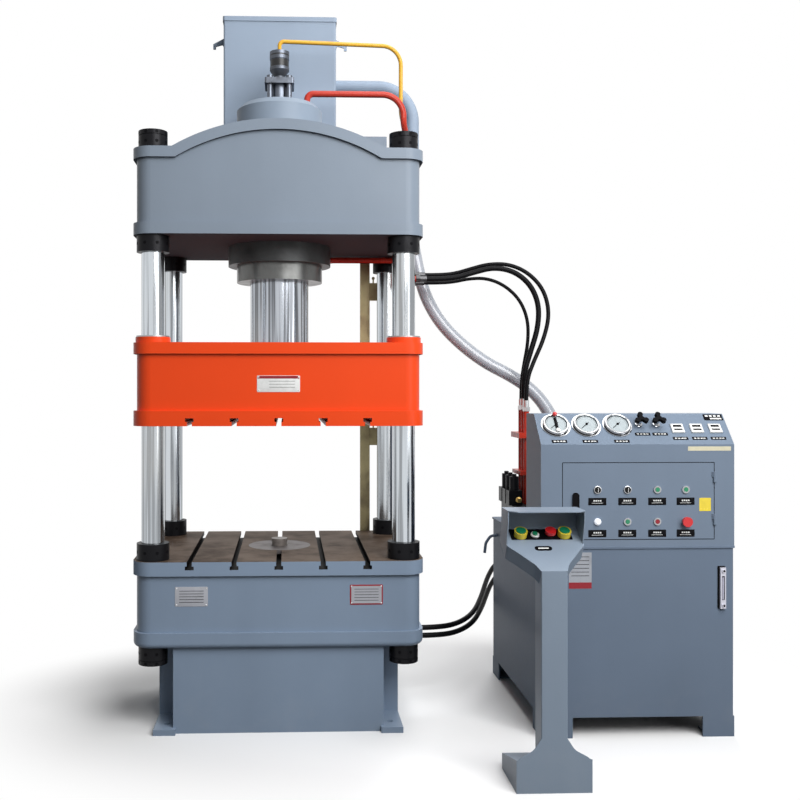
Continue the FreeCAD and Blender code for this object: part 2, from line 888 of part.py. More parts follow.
def make_crown():
    """Crown: lower flange, inset web and arched cap, with the pipes' stand welded on it."""
    full = rounded_slab(frame_width, frame_depth, frame_corner_radius, crown_bottom, crown_top)
    web_width = frame_width - 2 * web_inset
    web_depth = frame_depth - 2 * web_inset
    web = rounded_slab(web_width, web_depth, frame_corner_radius - web_inset, crown_bottom, crown_top)
    flange_top = crown_bottom + crown_flange_thickness
    lower = rounded_slab(frame_width, frame_depth, frame_corner_radius, crown_bottom, flange_top)
    under_cap = arch_block(crown_cap_thickness, crown_bottom - web_inset)
    under_arch = arch_block(0.0, crown_bottom - web_inset)
    cap = full.common(under_arch).cut(under_cap)
    body = fused([lower, web.common(under_arch), cap])
    column_holes = column_bars(crown_bottom, crown_shoulder, column_diameter + 2 * fit_gap)
    bore = rod(cylinder_diameter + 2 * fit_gap, crown_top - crown_bottom, vector(0, 0, crown_bottom))
    body = body.cut(column_holes + [bore])
    stand_top = crown_shoulder + pipe_stand_height
    size = (pipe_stand_width, pipe_stand_depth, pipe_stand_round)
    stand = rounded_slab(*size, crown_shoulder, stand_top, (pipe_stand_x, pipe_stand_y))
    return Part.makeCompound([body, stand.cut(body)])


def make_columns():
    """Four round columns."""
    return Part.makeCompound(column_bars(column_bottom, column_top, column_diameter))


def turned(profile):
    """Solid of revolution about Z from radius and height pairs."""
    outline = [vector(radius, 0, height) for radius, height in profile]
    return rounded_face(outline, [0.0] * len(outline)).revolve(vector(0, 0, 0), up, 360)


def round_nut(diameter, height):
    """Round column nut."""
    outer = diameter / 2
    inner = column_diameter / 2 + fit_gap
    return turned([(inner, 0), (outer, 0), (outer, height), (inner, height)])


def locked_nut(diameter):
    """Column nut with its lock ring screwed tight against it, a groove between them."""
    outer = diameter / 2
    inner = column_diameter / 2 + fit_gap
    groove = outer - lock_groove_depth
    top = locked_nut_height
    groove_top = outer_nut_height + lock_groove_width
    return turned([
        (inner, 0), (outer, 0), (outer, outer_nut_height), (groove, outer_nut_height),
        (groove, groove_top), (outer, groove_top), (outer, top), (inner, top),
    ])


def make_column_nuts():
    """Inner nuts, outer nuts and lock rings on the four columns."""
    inner = round_nut(inner_nut_diameter, inner_nut_height)
    outer = locked_nut(outer_nut_diameter)
    hung = outer.mirror(vector(0, 0, 0), up)
    nuts = []
    for x, y in column_places:
        nuts.append(inner.translated(vector(x, y, table_top)))
        nuts.append(inner.translated(vector(x, y, crown_bottom - inner_nut_height)))
        nuts.append(outer.translated(vector(x, y, crown_shoulder)))
        nuts.append(hung.translated(vector(x, y, bed_bottom)))
    return Part.makeCompound(nuts)


def make_main_cylinder():
    """Forged cylinder with its flange, closed at the top."""
    outer = cylinder_diameter / 2
    flange = cylinder_flange_diameter / 2
    bore = cylinder_bore / 2
    roof = cylinder_top - cylinder_head_thickness
    section = [
        (bore, flange_bottom), (flange, flange_bottom), (flange, crown_bottom),
        (outer, crown_bottom), (outer, cylinder_top - cylinder_head_bevel),
        (outer - cylinder_head_bevel, cylinder_top), (0, cylinder_top),
        (0, roof), (bore, roof),
    ]
    return turned(section)


def make_gland():
    """Gland collar round the ram."""
    outer = gland_diameter / 2
    inner = ram_diameter / 2 + running_gap
    section = [
        (inner, gland_bottom), (outer, gland_bottom), (outer, flange_bottom),
        (inner, flange_bottom),
    ]
    return turned(section)


def hexagon_head(across_flats, height):
    """Hexagon nut on the origin, two of its flats facing along X."""
    corner = across_flats / math.sqrt(3)
    angles = [math.radians(60 * index + 30) for index in range(6)]
    points = [vector(corner * math.cos(angle), corner * math.sin(angle), 0) for angle in angles]
    return rounded_face(points, [0.0] * len(points)).extrude(up * height)


def make_ram():
    """Ram with its piston and the flange that bolts to the slide."""
    ram = ram_diameter / 2
    piston = cylinder_bore / 2 - running_gap
    flange = ram_flange_diameter / 2
    foot = slide_top - ram_pocket_depth
    piston_top = piston_bottom + piston_height
    section = [
        (0, foot), (ram, foot), (ram, slide_top), (flange, slide_top),
        (flange, slide_top + ram_flange_height), (ram, slide_top + ram_flange_height),
        (ram, piston_bottom), (piston, piston_bottom), (piston, piston_top),
        (0, piston_top),
    ]
    return turned(section)


def make_slide_block():
    """Slide weldment with column bosses, upper flange and striker."""
    web_width = frame_width - 2 * web_inset
    web_depth = frame_depth - 2 * web_inset
    web = rounded_slab(web_width, web_depth, frame_corner_radius - web_inset, slide_web_bottom, slide_top)
    flange_low = slide_top - slide_flange_thickness
    flange = rounded_slab(frame_width, frame_depth, frame_corner_radius, flange_low, slide_top)
    bosses = [rod(slide_boss_diameter, slide_boss_height, vector(x, y, slide_top)) for x, y in column_places]
    striker_low = flange_low - striker_height
    striker_x = rail_x + rail_width / 2 + striker_offset
    striker_front = frame_depth / 2 - web_inset
    striker_far = rail_y - striker_gap
    striker = box(striker_x, striker_x + striker_length, striker_front, striker_far, striker_low, flange_low)
    body = fused([web, flange, striker] + bosses)
    pocket = rod(ram_diameter + 2 * fit_gap, ram_pocket_depth, vector(0, 0, slide_top - ram_pocket_depth))
    bores = column_bars(slide_web_bottom, slide_top + slide_boss_height, bush_diameter)
    return body.cut(bores + [pocket])


def make_slide_plate():
    """Lower slide plate with its T-slots."""
    plate = rounded_slab(frame_width, frame_depth, frame_corner_radius, slide_bottom, slide_web_bottom)
    bores = column_bars(slide_bottom, slide_web_bottom, bush_diameter)
    return plate.cut(tee_slots(slide_bottom, 1) + bores)


def make_slide_bushes():
    """Lipped guide bushes in the slide's corners."""
    inner = column_diameter / 2 + running_gap
    outer = bush_diameter / 2
    lip = bush_lip_diameter / 2
    seat = slide_top + slide_boss_height
    section = [
        (inner, slide_bottom), (outer, slide_bottom), (outer, seat),
        (lip, seat), (lip, seat + bush_lip_height), (inner, seat + bush_lip_height),
    ]
    bush = turned(section)
    return Part.makeCompound([bush.translated(vector(x, y, 0)) for x, y in column_places])


def make_ejector_ring():
    """Flush ring round the ejector rod."""
    seat = vector(0, 0, table_top - ejector_ring_thickness)
    ring = rod(ejector_ring_diameter, ejector_ring_thickness, seat)
    return ring.cut(rod(ejector_head_diameter + 2 * running_gap, ejector_ring_thickness, seat))


def make_ejector_cylinder():
    """Ejector cylinder hung under the bed."""
    outer = ejector_case_diameter / 2
    bore = ejector_case_bore / 2
    flange = ejector_flange_diameter / 2
    neck = ejector_rod_diameter / 2 + running_gap
    floor = ejector_case_bottom + ejector_floor
    gland_low = bed_bottom - ejector_gland_height
    flange_low = bed_bottom - ejector_flange_thickness
    section = [
        (0, ejector_case_bottom), (outer, ejector_case_bottom), (outer, flange_low),
        (flange, flange_low), (flange, bed_bottom), (neck, bed_bottom),
        (neck, gland_low), (bore, gland_low), (bore, floor), (0, floor),
    ]
    return turned(section)


def make_ejector_rod():
    """Ejector rod with its piston and striking head."""
    piston = ejector_case_bore / 2 - running_gap
    stem = ejector_rod_diameter / 2
    head = ejector_head_diameter / 2
    piston_top = ejector_piston_bottom + ejector_piston_height
    top = table_top + ejector_stand_out
    section = [
        (0, ejector_piston_bottom), (piston, ejector_piston_bottom), (piston, piston_top),
        (stem, piston_top), (stem, top - ejector_head_height),
        (head, top - ejector_head_height), (head, top), (0, top),
    ]
    return turned(section)


def make_prefill_valve():
    """Prefill valve: base plate, tie posts, body, head plate and bolt caps."""
    half = prefill_width / 2
    top = cylinder_top + prefill_height
    plate = (prefill_width, prefill_width, prefill_round)
    base = rounded_slab(*plate, cylinder_top, cylinder_top + prefill_plate)
    head = rounded_slab(*plate, top - prefill_plate, top)
    pieces = [base, head, rod(prefill_body_diameter, prefill_height, vector(0, 0, cylinder_top))]
    for side in (-1, 1):
        for depth in (-1, 1):
            x = side * (half - prefill_post_inset)
            y = depth * (half - prefill_post_inset)
            pieces.append(rod(prefill_post_diameter, prefill_height, vector(x, y, cylinder_top)))
            pieces.append(rod(prefill_cap_diameter, prefill_cap_height, vector(x, y, top)))
    pieces.append(rod(filling_pipe_diameter, half, vector(0, 0, filling_pipe_height), back))
    return fused(pieces)


def make_pilot_valve():
    """Round pilot valve with a tapered neck and turned bands."""
    base = cylinder_top + prefill_height
    outer = pilot_diameter / 2
    neck = pilot_neck_diameter / 2
    waist = outer - pilot_waist_depth
    cone_low = base + pilot_neck_height
    ring_low = cone_low + pilot_cone_height
    ring_top = ring_low + pilot_ring_height
    waist_low = ring_top + pilot_step
    waist_top = waist_low + pilot_waist_height
    top = base + pilot_height
    section = [
        (0, base), (neck, base), (neck, cone_low), (outer, ring_low),
        (outer, ring_top), (waist, waist_low), (waist, waist_top),
        (outer, waist_top + pilot_step), (outer, top), (0, top),
    ]
    return turned(section)


def fill_tank_hook(side):
    """Flat hook on the side of the filling tank."""
    wall = side * fill_tank_width / 2
    tip = wall + side * hook_reach
    low = hook_top - hook_height
    profile = [
        vector(wall, overflow_y, hook_top), vector(tip, overflow_y, hook_top - hook_tip_drop),
        vector(tip, overflow_y, low), vector(tip - side * hook_tip_width, overflow_y, low),
        vector(tip - side * (hook_tip_width + pin_gap), overflow_y, low + hook_notch_tip_height),
        vector(wall + side * hook_notch_inset, overflow_y, low + hook_notch_height),
        vector(wall + side * hook_root, overflow_y, low), vector(wall, overflow_y, low),
    ]
    face = rounded_face(profile, [0.0, 5.0, 2.0, 2.0, 4.0, 6.0, 2.0, 0.0])
    return face.extrude(back * hook_thickness)


def tank_saddle(side):
    """Rail under the filling tank with its gusset behind the crown."""
    x_low = side * fill_tank_rail_half_x - fill_tank_rail_width / 2
    x_high = x_low + fill_tank_rail_width
    back_face = frame_depth / 2
    rail = box(x_low, x_high, fill_tank_front, back_face, crown_shoulder, fill_tank_bottom)
    tip_y = fill_tank_front + fill_tank_depth - fill_tank_gusset_inset
    foot_z = crown_shoulder - fill_tank_gusset_drop
    gusset = [
        vector(x_low, back_face, fill_tank_bottom), vector(x_low, tip_y, fill_tank_bottom),
        vector(x_low, back_face + fill_tank_gusset_toe, foot_z), vector(x_low, back_face, foot_z),
    ]
    web = rounded_face(gusset, [0.0] * len(gusset)).extrude(right * fill_tank_rail_width)
    return fused([rail.cut(arch_block(0.0, crown_bottom)), web])


def overflow_pipe():
    """Pipe from the filling tank's side, bent down beside the crown."""
    points = [
        vector(fill_tank_width / 2, overflow_y, outlet_height),
        vector(overflow_pipe_x, overflow_y, outlet_height),
        vector(overflow_pipe_x, overflow_y, overflow_pipe_end),
    ]
    return tube_along(points, [overflow_pipe_bend], clear_hose_diameter, overflow_pipe_sides)


def tank_block(overhang, z_low, z_high):
    """Block of the filling tank's plan, drawn outward by overhang."""
    width = fill_tank_width + 2 * overhang
    depth = fill_tank_depth + 2 * overhang
    return rounded_slab(width, depth, fill_tank_round + overhang, z_low, z_high, (0.0, overflow_y))


def make_filling_tank():
    """Open-topped sheet tank on two saddles, with side hooks and its overflow pipe."""
    outer = tank_block(0.0, fill_tank_bottom, fill_tank_top)
    inside = tank_block(-fill_tank_wall, fill_tank_bottom + fill_tank_wall, fill_tank_top)
    inlet_bore = filling_pipe_diameter - 2 * filling_pipe_wall
    inlet = rod(inlet_bore, 2 * fill_tank_wall, vector(0, fill_tank_front, filling_pipe_height), back)
    shell = outer.cut([inside, inlet])
    hooks = [fill_tank_hook(side) for side in (-1, 1)]
    saddles = [tank_saddle(side) for side in (-1, 1)]
    return Part.makeCompound([shell] + hooks + saddles + [overflow_pipe()])


def make_tank_lid():
    """Lift-off lid with a turned-down lip and two wire handles."""
    low = fill_tank_top - fill_lid_lip
    seat = fill_tank_top + fill_lid_thickness
    cap = tank_block(fill_lid_overhang, low, seat)
    pieces = [cap.cut(tank_block(fill_lid_overhang - fill_lid_thickness, low, fill_tank_top))]
    for side in (-1, 1):
        x = side * lid_handle_half_x
        half = lid_handle_width / 2
        foot = seat - fill_lid_thickness / 2
        grip = seat + lid_handle_height
        wire = [
            vector(x - half, overflow_y, foot), vector(x - half, overflow_y, grip),
            vector(x + half, overflow_y, grip), vector(x + half, overflow_y, foot),
        ]
        pieces.append(tube_along(wire, [lid_handle_bend, lid_handle_bend], lid_handle_diameter, wire_sides))
    return fused(pieces)


def make_filling_pipe():
    """Short flanged pipe from the tank to the prefill valve."""
    start = vector(0, prefill_width / 2, filling_pipe_height)
    length = fill_tank_front - start.y
    far_start = start + back * (length - filling_flange_thickness)
    pipe = rod(filling_pipe_diameter, length, start, back)
    near = rod(filling_near_flange_diameter, filling_flange_thickness, start, back)
    far = rod(filling_flange_diameter, filling_flange_thickness, far_start, back)
    bore = rod(filling_pipe_diameter - 2 * filling_pipe_wall, length, start, back)
    return fused([pipe, near, far]).cut(bore)


def make_pilot_pipe():
    """Thin pipe from the pilot valve, over and down beside the crown."""
    start = cylinder_top + prefill_height + pilot_height
    points = [
        vector(0, 0, start), vector(0, 0, pilot_run_height),
        vector(pilot_corner_x, pilot_drop_y[0], pilot_run_height),
        vector(pilot_corner_x, pilot_drop_y[1], pilot_drop_height),
        vector(pipe_drop_x, pilot_pipe_y, pilot_side_height),
        vector(pipe_drop_x, pilot_pipe_y, pilot_pipe_end), vector(pipe_end_x, pilot_pipe_y, pilot_pipe_end),
    ]
    bends = [pilot_corner_bend, pipe_side_bend, pipe_side_bend, pipe_side_bend, pipe_end_bend]
    return tube_along(points, bends, pilot_pipe_diameter)


def make_pressure_pipe():
    """Main pressure pipe from the cylinder head."""
    points = [
        vector(pressure_port_x, 0, cylinder_top), vector(pressure_port_x, 0, pressure_run_height),
        vector(pipe_corner_x, pressure_drop_y[0], pressure_run_height),
        vector(pipe_corner_x, pressure_drop_y[1], pressure_drop_height),
        vector(pipe_drop_x, pressure_pipe_y, pressure_side_height),
        vector(pipe_drop_x, pressure_pipe_y, pressure_pipe_end),
        vector(pipe_end_x, pressure_pipe_y, pressure_pipe_end),
    ]
    return tube_along(points, [*pressure_bends, pipe_side_bend, pipe_end_bend], pressure_pipe_diameter)


def make_return_pipe():
    """Pipe from the cylinder flange along the crown's underside."""
    points = [
        vector(*return_start, (crown_bottom + flange_bottom) / 2),
        vector(return_turn_x, return_run_y, return_run_height),
        vector(pipe_drop_x, return_run_y, return_run_height),
        vector(pipe_drop_x, return_pipe_y, return_pipe_end),
        vector(pipe_end_x, return_pipe_y, return_pipe_end),
    ]
    pipe = tube_along(points, [*return_bends, pipe_end_bend], return_pipe_diameter)
    return pipe.cut(rod(cylinder_flange_diameter, cylinder_flange_height, vector(0, 0, flange_bottom)))


def make_scale_rail():
    """Upright switch rail with brackets to bed and crown."""
    x_low = rail_x - rail_width / 2
    x_high = rail_x + rail_width / 2
    low = table_top - rail_drop
    high = crown_bottom + rail_rise
    back_face = frame_depth / 2
    upright = box(x_low, x_high, rail_y, rail_y + rail_thickness, low, high)
    foot = box(x_low, x_high, back_face, rail_y, low, table_top - rail_foot_drop)
    head = box(x_low, x_high, back_face, rail_y, crown_bottom + rail_head_gap, high)
    return fused([upright, foot, head])


def make_limit_switches():
    """Limit switches with rollers on the rail's side."""
    switches = []
    x_low = rail_x + rail_width / 2
    for height in switch_heights:
        switch_top = height + switch_height
        case = rounded_case(x_low, x_low + switch_width, rail_y, rail_y + switch_depth, height, switch_top)
        arm_base = vector(x_low + switch_width / 2, rail_y + switch_depth / 2, switch_top)
        arm = rod(switch_arm_diameter, switch_arm_length, arm_base)
        roller_base = arm_base + up * switch_arm_length - back * (switch_arm_diameter / 2)
        roller = rod(switch_roller_diameter, switch_arm_diameter, roller_base, back)
        switches.append(fused([case, arm, roller]))
    return switches


def rounded_case(x_low, x_high, y_low, y_high, z_low, z_high):
    """Small upright case with rounded edges."""
    middle = ((x_low + x_high) / 2, (y_low + y_high) / 2)
    return rounded_slab(x_high - x_low, y_high - y_low, case_round, z_low, z_high, middle)


def unit_foot(side, depth):
    """Bent-plate foot under a corner of the oil tank."""
    x = unit_left if side < 0 else unit_right
    y = unit_front if depth < 0 else unit_back
    inward_x = -side
    inward_y = -depth
    reach = unit_foot_width
    wall = unit_foot_thickness
    plan = [
        (0, 0), (reach, 0), (reach, wall), (wall, wall), (wall, reach), (0, reach),
    ]
    corners = [vector(x + inward_x * px, y + inward_y * py, 0) for px, py in plan]
    angle = rounded_face(corners, [0.0] * len(corners)).extrude(up * unit_foot_height)
    sole_x = sorted((x, x + inward_x * unit_sole_length))
    sole_y = sorted((y, y + inward_y * unit_sole_length))
    return fused([angle, box(*sole_x, *sole_y, 0, wall)])


def side_hook():
    """Cable hook on the left wall of the oil tank."""
    y = unit_back - side_hook_inset
    points = [vector(unit_left - reach, y, height) for reach, height in side_hook_profile]
    return tube_along(points, [side_hook_bend, side_hook_bend], side_hook_thickness)


def make_oil_tank():
    """Oil tank on bent-plate feet, with rear ports and its side hook."""
    middle = ((unit_left + unit_right) / 2, (unit_front + unit_back) / 2)
    body = rounded_slab(unit_width, unit_depth, unit_corner_radius, unit_foot_height, unit_tank_top, middle)
    pieces = [body]
    pieces += [unit_foot(side, depth) for side in (-1, 1) for depth in (-1, 1)]
    for height in unit_port_heights:
        pieces.append(rod(port_boss_diameter, port_boss_length, vector(unit_port_x, unit_back, height), back))
    tank = fused(pieces)
    return Part.makeCompound([tank, side_hook().cut(tank)])


def make_tank_cover():
    """Bolted cover of the oil tank with the hose spigot."""
    middle = ((unit_left + unit_right) / 2, (unit_front + unit_back) / 2)
    width = unit_width + 2 * cover_overhang
    depth = unit_depth + 2 * cover_overhang
    plate = rounded_slab(width, depth, unit_corner_radius, unit_tank_top, cover_top, middle)
    spigot_foot = vector(spigot_x, spigot_y, cover_top)
    spigot = rod(clear_hose_diameter, spigot_height, spigot_foot)
    flange = rod(spigot_flange_diameter, spigot_flange_height, spigot_foot)
    breather_foot = vector(breather_x, breather_y, cover_top)
    breather_stem = rod(breather_stem_diameter, breather_stem_height, breather_foot)
    breather_cap = rod(breather_diameter, breather_height, breather_foot + up * breather_stem_height)
    return fused([plate, spigot, flange, breather_stem, breather_cap])


def box_profile(inset):
    """Side outline of the panel box, drawn inward by inset."""
    low = cover_top + inset
    high = box_top - inset
    near = unit_front + inset
    far = unit_front + box_depth - inset
    slope_shift = inset * slope_length
    shoulder = box_shoulder - (slope_shift - inset * slope_rise) / box_slope_run
    crest = unit_front + box_slope_run + (slope_shift - inset * box_slope_run) / slope_rise
    return [(near, low), (near, shoulder), (crest, high), (far, high), (far, low)]


def box_prism(inset):
    """Solid of the panel box's outline, drawn inward by inset on every side."""
    corners = [vector(unit_left + inset, y, z) for y, z in box_profile(inset)]
    return rounded_face(corners, [0.0] * len(corners)).extrude(right * (unit_width - 2 * inset))


def slope_point(x, place):
    """Point on the sloping panel, place running from 0 at its lower edge to 1."""
    return vector(x, unit_front + box_slope_run * place, box_shoulder + slope_rise * place)


def slope_bore(diameter, x, place):
    """Cutter for a round hole through the sloping panel."""
    start = slope_point(x, place) - slope_normal * cutter_reach
    return rod(diameter + 2 * fit_gap, 2 * cutter_reach, start, slope_normal)


def make_panel_box():
    """Folded panel box with its door opening, lift-off hinges and switch holes."""
    shell = box_prism(0.0).cut(box_prism(box_wall))
    cutters = [box(
        door_left - door_gap, door_right + door_gap, unit_front - 1, unit_front + box_wall + 1,
        door_bottom - door_gap, door_top + door_gap,
    )]
    cutters += [slope_bore(gauge_body_diameter, x, gauge_slope_place) for x in gauge_positions]
    cutters += [slope_bore(knob_stem_diameter, x, knob_slope_place) for x in knob_positions]
    hole_x = timer_width / 2 - timer_hole_margin
    hole_y = timer_length / 2 - timer_hole_margin
    hole = box(-hole_x, hole_x, -hole_y, hole_y, -cutter_reach, cutter_reach)
    cutters += [placed(hole, slope_point(x, timer_slope_place), slope_normal) for x in timer_positions]
    pieces = [shell.cut(cutters)]
    hinge_x = door_right + door_gap / 2
    hinge_y = unit_front - hinge_diameter / 2
    for height in hinge_heights:
        knuckle = rod(hinge_diameter, hinge_length, vector(hinge_x, hinge_y, height))
        leaf = box(hinge_x, hinge_x + hinge_leaf, hinge_y, unit_front, height, height + hinge_length)
        pin = rod(hinge_pin_diameter, 2 * hinge_length - hinge_pin_short, vector(hinge_x, hinge_y, height))
        pieces += [knuckle, leaf, pin]
    return fused(pieces)


def contactor(middle_x, y_far, middle_z):
    """Contactor with its stepped nose."""
    half_x = contactor_width / 2
    half_z = contactor_height / 2
    y_step = y_far - contactor_depth + contactor_nose
    body = box(middle_x - half_x, middle_x + half_x, y_step, y_far, middle_z - half_z, middle_z + half_z)
    nose_x = half_x - contactor_nose_inset
    nose_z = half_z / 2
    y_near = y_far - contactor_depth
    nose = box(middle_x - nose_x, middle_x + nose_x, y_near, y_step, middle_z - nose_z, middle_z + nose_z)
    return [body, nose]


def make_control_gear():
    """Mounting plate with a rail of contactors inside the panel box."""
    plate_far = unit_front + box_depth - box_wall
    plate_y = plate_far - gear_plate_thickness
    plate = box(
        door_left + gear_plate_margin_x, door_right - gear_plate_margin_x, plate_y, plate_far,
        door_bottom + gear_plate_margin_low, door_top + gear_plate_margin_high,
    )
    rail_z = (door_bottom + door_top) / 2
    rail_far = plate_y - rail_strip_depth
    strip = box(
        door_left + gear_rail_margin, door_right - gear_rail_margin, rail_far, plate_y,
        rail_z, rail_z + rail_strip_height,
    )
    pieces = [plate, strip]
    first = (door_left + door_right - (contactor_count - 1) * contactor_pitch) / 2
    for index in range(contactor_count):
        pieces += contactor(first + index * contactor_pitch, rail_far, rail_z + rail_strip_height / 2)
    return fused(pieces)


def make_cabinet_door():
    """Door tray with switch holes, hinge knuckles and its turned-back edges."""
    outer = box(door_left, door_right, unit_front, unit_front + door_return, door_bottom, door_top)
    inside = box(
        door_left + door_wall, door_right - door_wall, unit_front + door_wall, unit_front + door_return,
        door_bottom + door_wall, door_top - door_wall,
    )
    tray = outer.cut(inside)
    hinge_x = door_right + door_gap / 2
    hinge_y = unit_front - hinge_diameter / 2
    pieces = [tray]
    bores = []
    for height in hinge_heights:
        base = height + hinge_length + running_gap
        pieces.append(rod(hinge_diameter, hinge_length, vector(hinge_x, hinge_y, base)))
        pieces.append(box(hinge_x - hinge_leaf, hinge_x, hinge_y, unit_front, base, base + hinge_length))
        bore_low = vector(hinge_x, hinge_y, base - running_gap)
        bores.append(rod(hinge_pin_diameter + 2 * pin_gap, hinge_length + 2 * running_gap, bore_low))
    body = fused(pieces)
    for x in button_columns:
        for z in button_rows:
            bore_start = vector(x, unit_front - 1, z)
            bores.append(rod(bezel_shank_diameter + 2 * fit_gap, cutter_reach, bore_start, back))
    spindle_height = handle_middle + handle_length / 2 - handle_width / 2
    spindle_start = vector(handle_x, unit_front - 1, spindle_height)
    bores.append(rod(handle_spindle + 2 * running_gap, cutter_reach, spindle_start, back))
    return body.cut(bores)


def make_door_handle():
    """Flat turn handle with a rounded top, its spindle and latch arm."""
    spindle_height = handle_middle + handle_length / 2 - handle_width / 2
    y = unit_front - handle_travel_gap
    half = handle_width / 2
    low = handle_middle - handle_length / 2
    high = handle_middle + handle_length / 2
    corners = [
        vector(handle_x - half, y, low), vector(handle_x + half, y, low),
        vector(handle_x + half, y, high), vector(handle_x - half, y, high),
    ]
    rounds = [handle_foot_round, handle_foot_round, handle_top_round, handle_top_round]
    grip = rounded_face(corners, rounds).extrude(front * handle_thickness)
    spindle_far = unit_front + door_wall + latch_depth
    spindle = rod(handle_spindle, spindle_far - y, vector(handle_x, y, spindle_height), back)
    arm = box(
        handle_x - latch_half_width, handle_x + latch_half_width, spindle_far - latch_thickness, spindle_far,
        spindle_height - latch_drop, spindle_height + latch_rise,
    )
    return fused([grip, spindle, arm])


def gauge_case():
    """Flanged gauge case along Z, its dial recessed in the rim."""
    flange = gauge_flange_diameter / 2
    rim = gauge_face_diameter / 2 + gauge_rim_width
    face = gauge_face_diameter / 2
    body = gauge_body_diameter / 2
    section = [
        (0, -gauge_body_depth), (body, -gauge_body_depth), (body, 0), (flange, 0),
        (flange, gauge_flange_thickness), (rim, gauge_flange_thickness),
        (rim, gauge_rim_height), (face, gauge_rim_height),
        (face, gauge_rim_height - gauge_dial_drop), (0, gauge_rim_height - gauge_dial_drop),
    ]
    return turned(section)


def make_gauges():
    """Three flanged pressure gauges."""
    case = gauge_case()
    places = [slope_point(x, gauge_slope_place) for x in gauge_positions]
    return Part.makeCompound([placed(case, place, slope_normal) for place in places])


def timer_case():
    """Timer along Z: a chamfered frame on the panel and the body behind it."""
    half_x = timer_width / 2
    half_y = timer_length / 2
    frame = box(-half_x, half_x, -half_y, half_y, 0, timer_stand_out)
    rims = [edge for edge in frame.Edges if abs(edge.CenterOfMass.z - timer_stand_out) < tiny]
    frame = frame.makeChamfer(timer_chamfer, rims)
    body_x = half_x - timer_body_margin
    body_y = half_y - timer_body_margin
    return fused([frame, box(-body_x, body_x, -body_y, body_y, -timer_depth, 0)])


def make_panel_fittings():
    """Valve stems with their nuts, and the three timers."""
    stem = fused([
        rod(knob_stem_diameter, knob_stem_length + knob_stem_depth, vector(0, 0, -knob_stem_depth)),
        rod(knob_nut_diameter, knob_nut_height, vector(0, 0, 0)),
    ])
    timer = timer_case()
    stems = [placed(stem, slope_point(x, knob_slope_place), slope_normal) for x in knob_positions]
    timers = [placed(timer, slope_point(x, timer_slope_place), slope_normal) for x in timer_positions]
    return Part.makeCompound(stems + timers)


def lobed_knob():
    """Three-lobed grip along Z, open below for its stem."""
    lobes = [Part.makeCylinder(knob_lobe_radius, knob_height)]
    for index in range(3):
        angle = math.radians(90 + 120 * index)
        centre = vector(knob_lobe_reach * math.cos(angle), knob_lobe_reach * math.sin(angle), 0)
        lobes.append(Part.makeCylinder(knob_lobe_radius, knob_height, centre))
        bridge = box(0, knob_lobe_reach, -knob_bridge_width / 2, knob_bridge_width / 2, 0, knob_height)
        bridge.rotate(vector(0, 0, 0), up, 90 + 120 * index)
        lobes.append(bridge)
    body = fused(lobes)
    socket = Part.makeCylinder(knob_stem_diameter / 2 + running_gap, knob_height - knob_roof)
    return body.cut(socket)


def make_valve_knob(x):
    """Lobed knob on its stem."""
    seat = knob_stem_length - knob_height + knob_roof + running_gap
    base = slope_point(x, knob_slope_place) + slope_normal * seat
    return placed(lobed_knob(), base, slope_normal)


def bezel():
    """Chrome switch bezel along Z with its shank and switch body behind the panel."""
    outer = bezel_diameter / 2
    shank = bezel_shank_diameter / 2
    bore = bezel_bore / 2
    section = [
        (0, -switch_body_length), (shank, -switch_body_length), (shank, 0),
        (outer, 0), (outer, bezel_height), (bore, bezel_height),
        (bore, -bezel_floor), (0, -bezel_floor),
    ]
    return turned(section)


def panel_point(column, row):
    """Place of a switch on the door."""
    return vector(button_columns[column], unit_front, button_rows[row])


def make_door_bezels():
    """Bezels of the seven switches and the holder of the lamp."""
    ring = bezel()
    places = [(column, 0) for column in range(len(button_columns))]
    places += [(column, 1) for column in range(1, len(button_columns))]
    return Part.makeCompound([placed(ring, panel_point(column, row), front) for column, row in places])


def make_signal_lamp():
    """Domed signal lamp."""
    dome = lamp_diameter / 2
    shank = bezel_shank_diameter / 2
    section = [
        (0, -switch_body_length), (shank, -switch_body_length), (shank, 0),
        (dome, 0), (dome, lamp_height - lamp_round), (dome - lamp_round, lamp_height),
        (0, lamp_height),
    ]
    lamp = turned(section)
    return placed(lamp, panel_point(0, 1), front)


def push_cap(diameter, stand_out, travel, floor):
    """Push-button cap along Z, short of its seat by its travel."""
    low = -floor + travel + button_gap
    return Part.makeCylinder(diameter / 2, stand_out - low, vector(0, 0, low))


def make_push_button(base, axis):
    """Push button in a bezel."""
    stand_out = bezel_height + button_stand_out - button_travel
    return placed(push_cap(button_diameter, stand_out, button_travel, bezel_floor), base, axis)


def make_selector(base):
    """Selector with a raised grip bar."""
    foot = button_gap - bezel_floor
    disc = rod(button_diameter, bezel_height - foot, vector(0, 0, foot))
    half_width = selector_bar_width / 2
    half_length = selector_bar_length / 2
    low = bezel_height + button_gap
    bar = box(-half_width, half_width, -half_length, half_length, low, selector_height + button_gap)
    neck = rod(selector_bar_width, button_gap, vector(0, 0, bezel_height))
    return placed(fused([disc, bar, neck]), base, front)


def mushroom():
    """Mushroom button along Z with its stem."""
    cap = mushroom_diameter / 2
    stem = mushroom_stem_diameter / 2
    top = mushroom_stand_out
    low = top - mushroom_cap_height
    foot = button_gap + button_travel - bezel_floor
    section = [
        (0, foot), (stem, foot), (stem, low), (cap, low),
        (cap, top), (0, top),
    ]
    return turned(section)


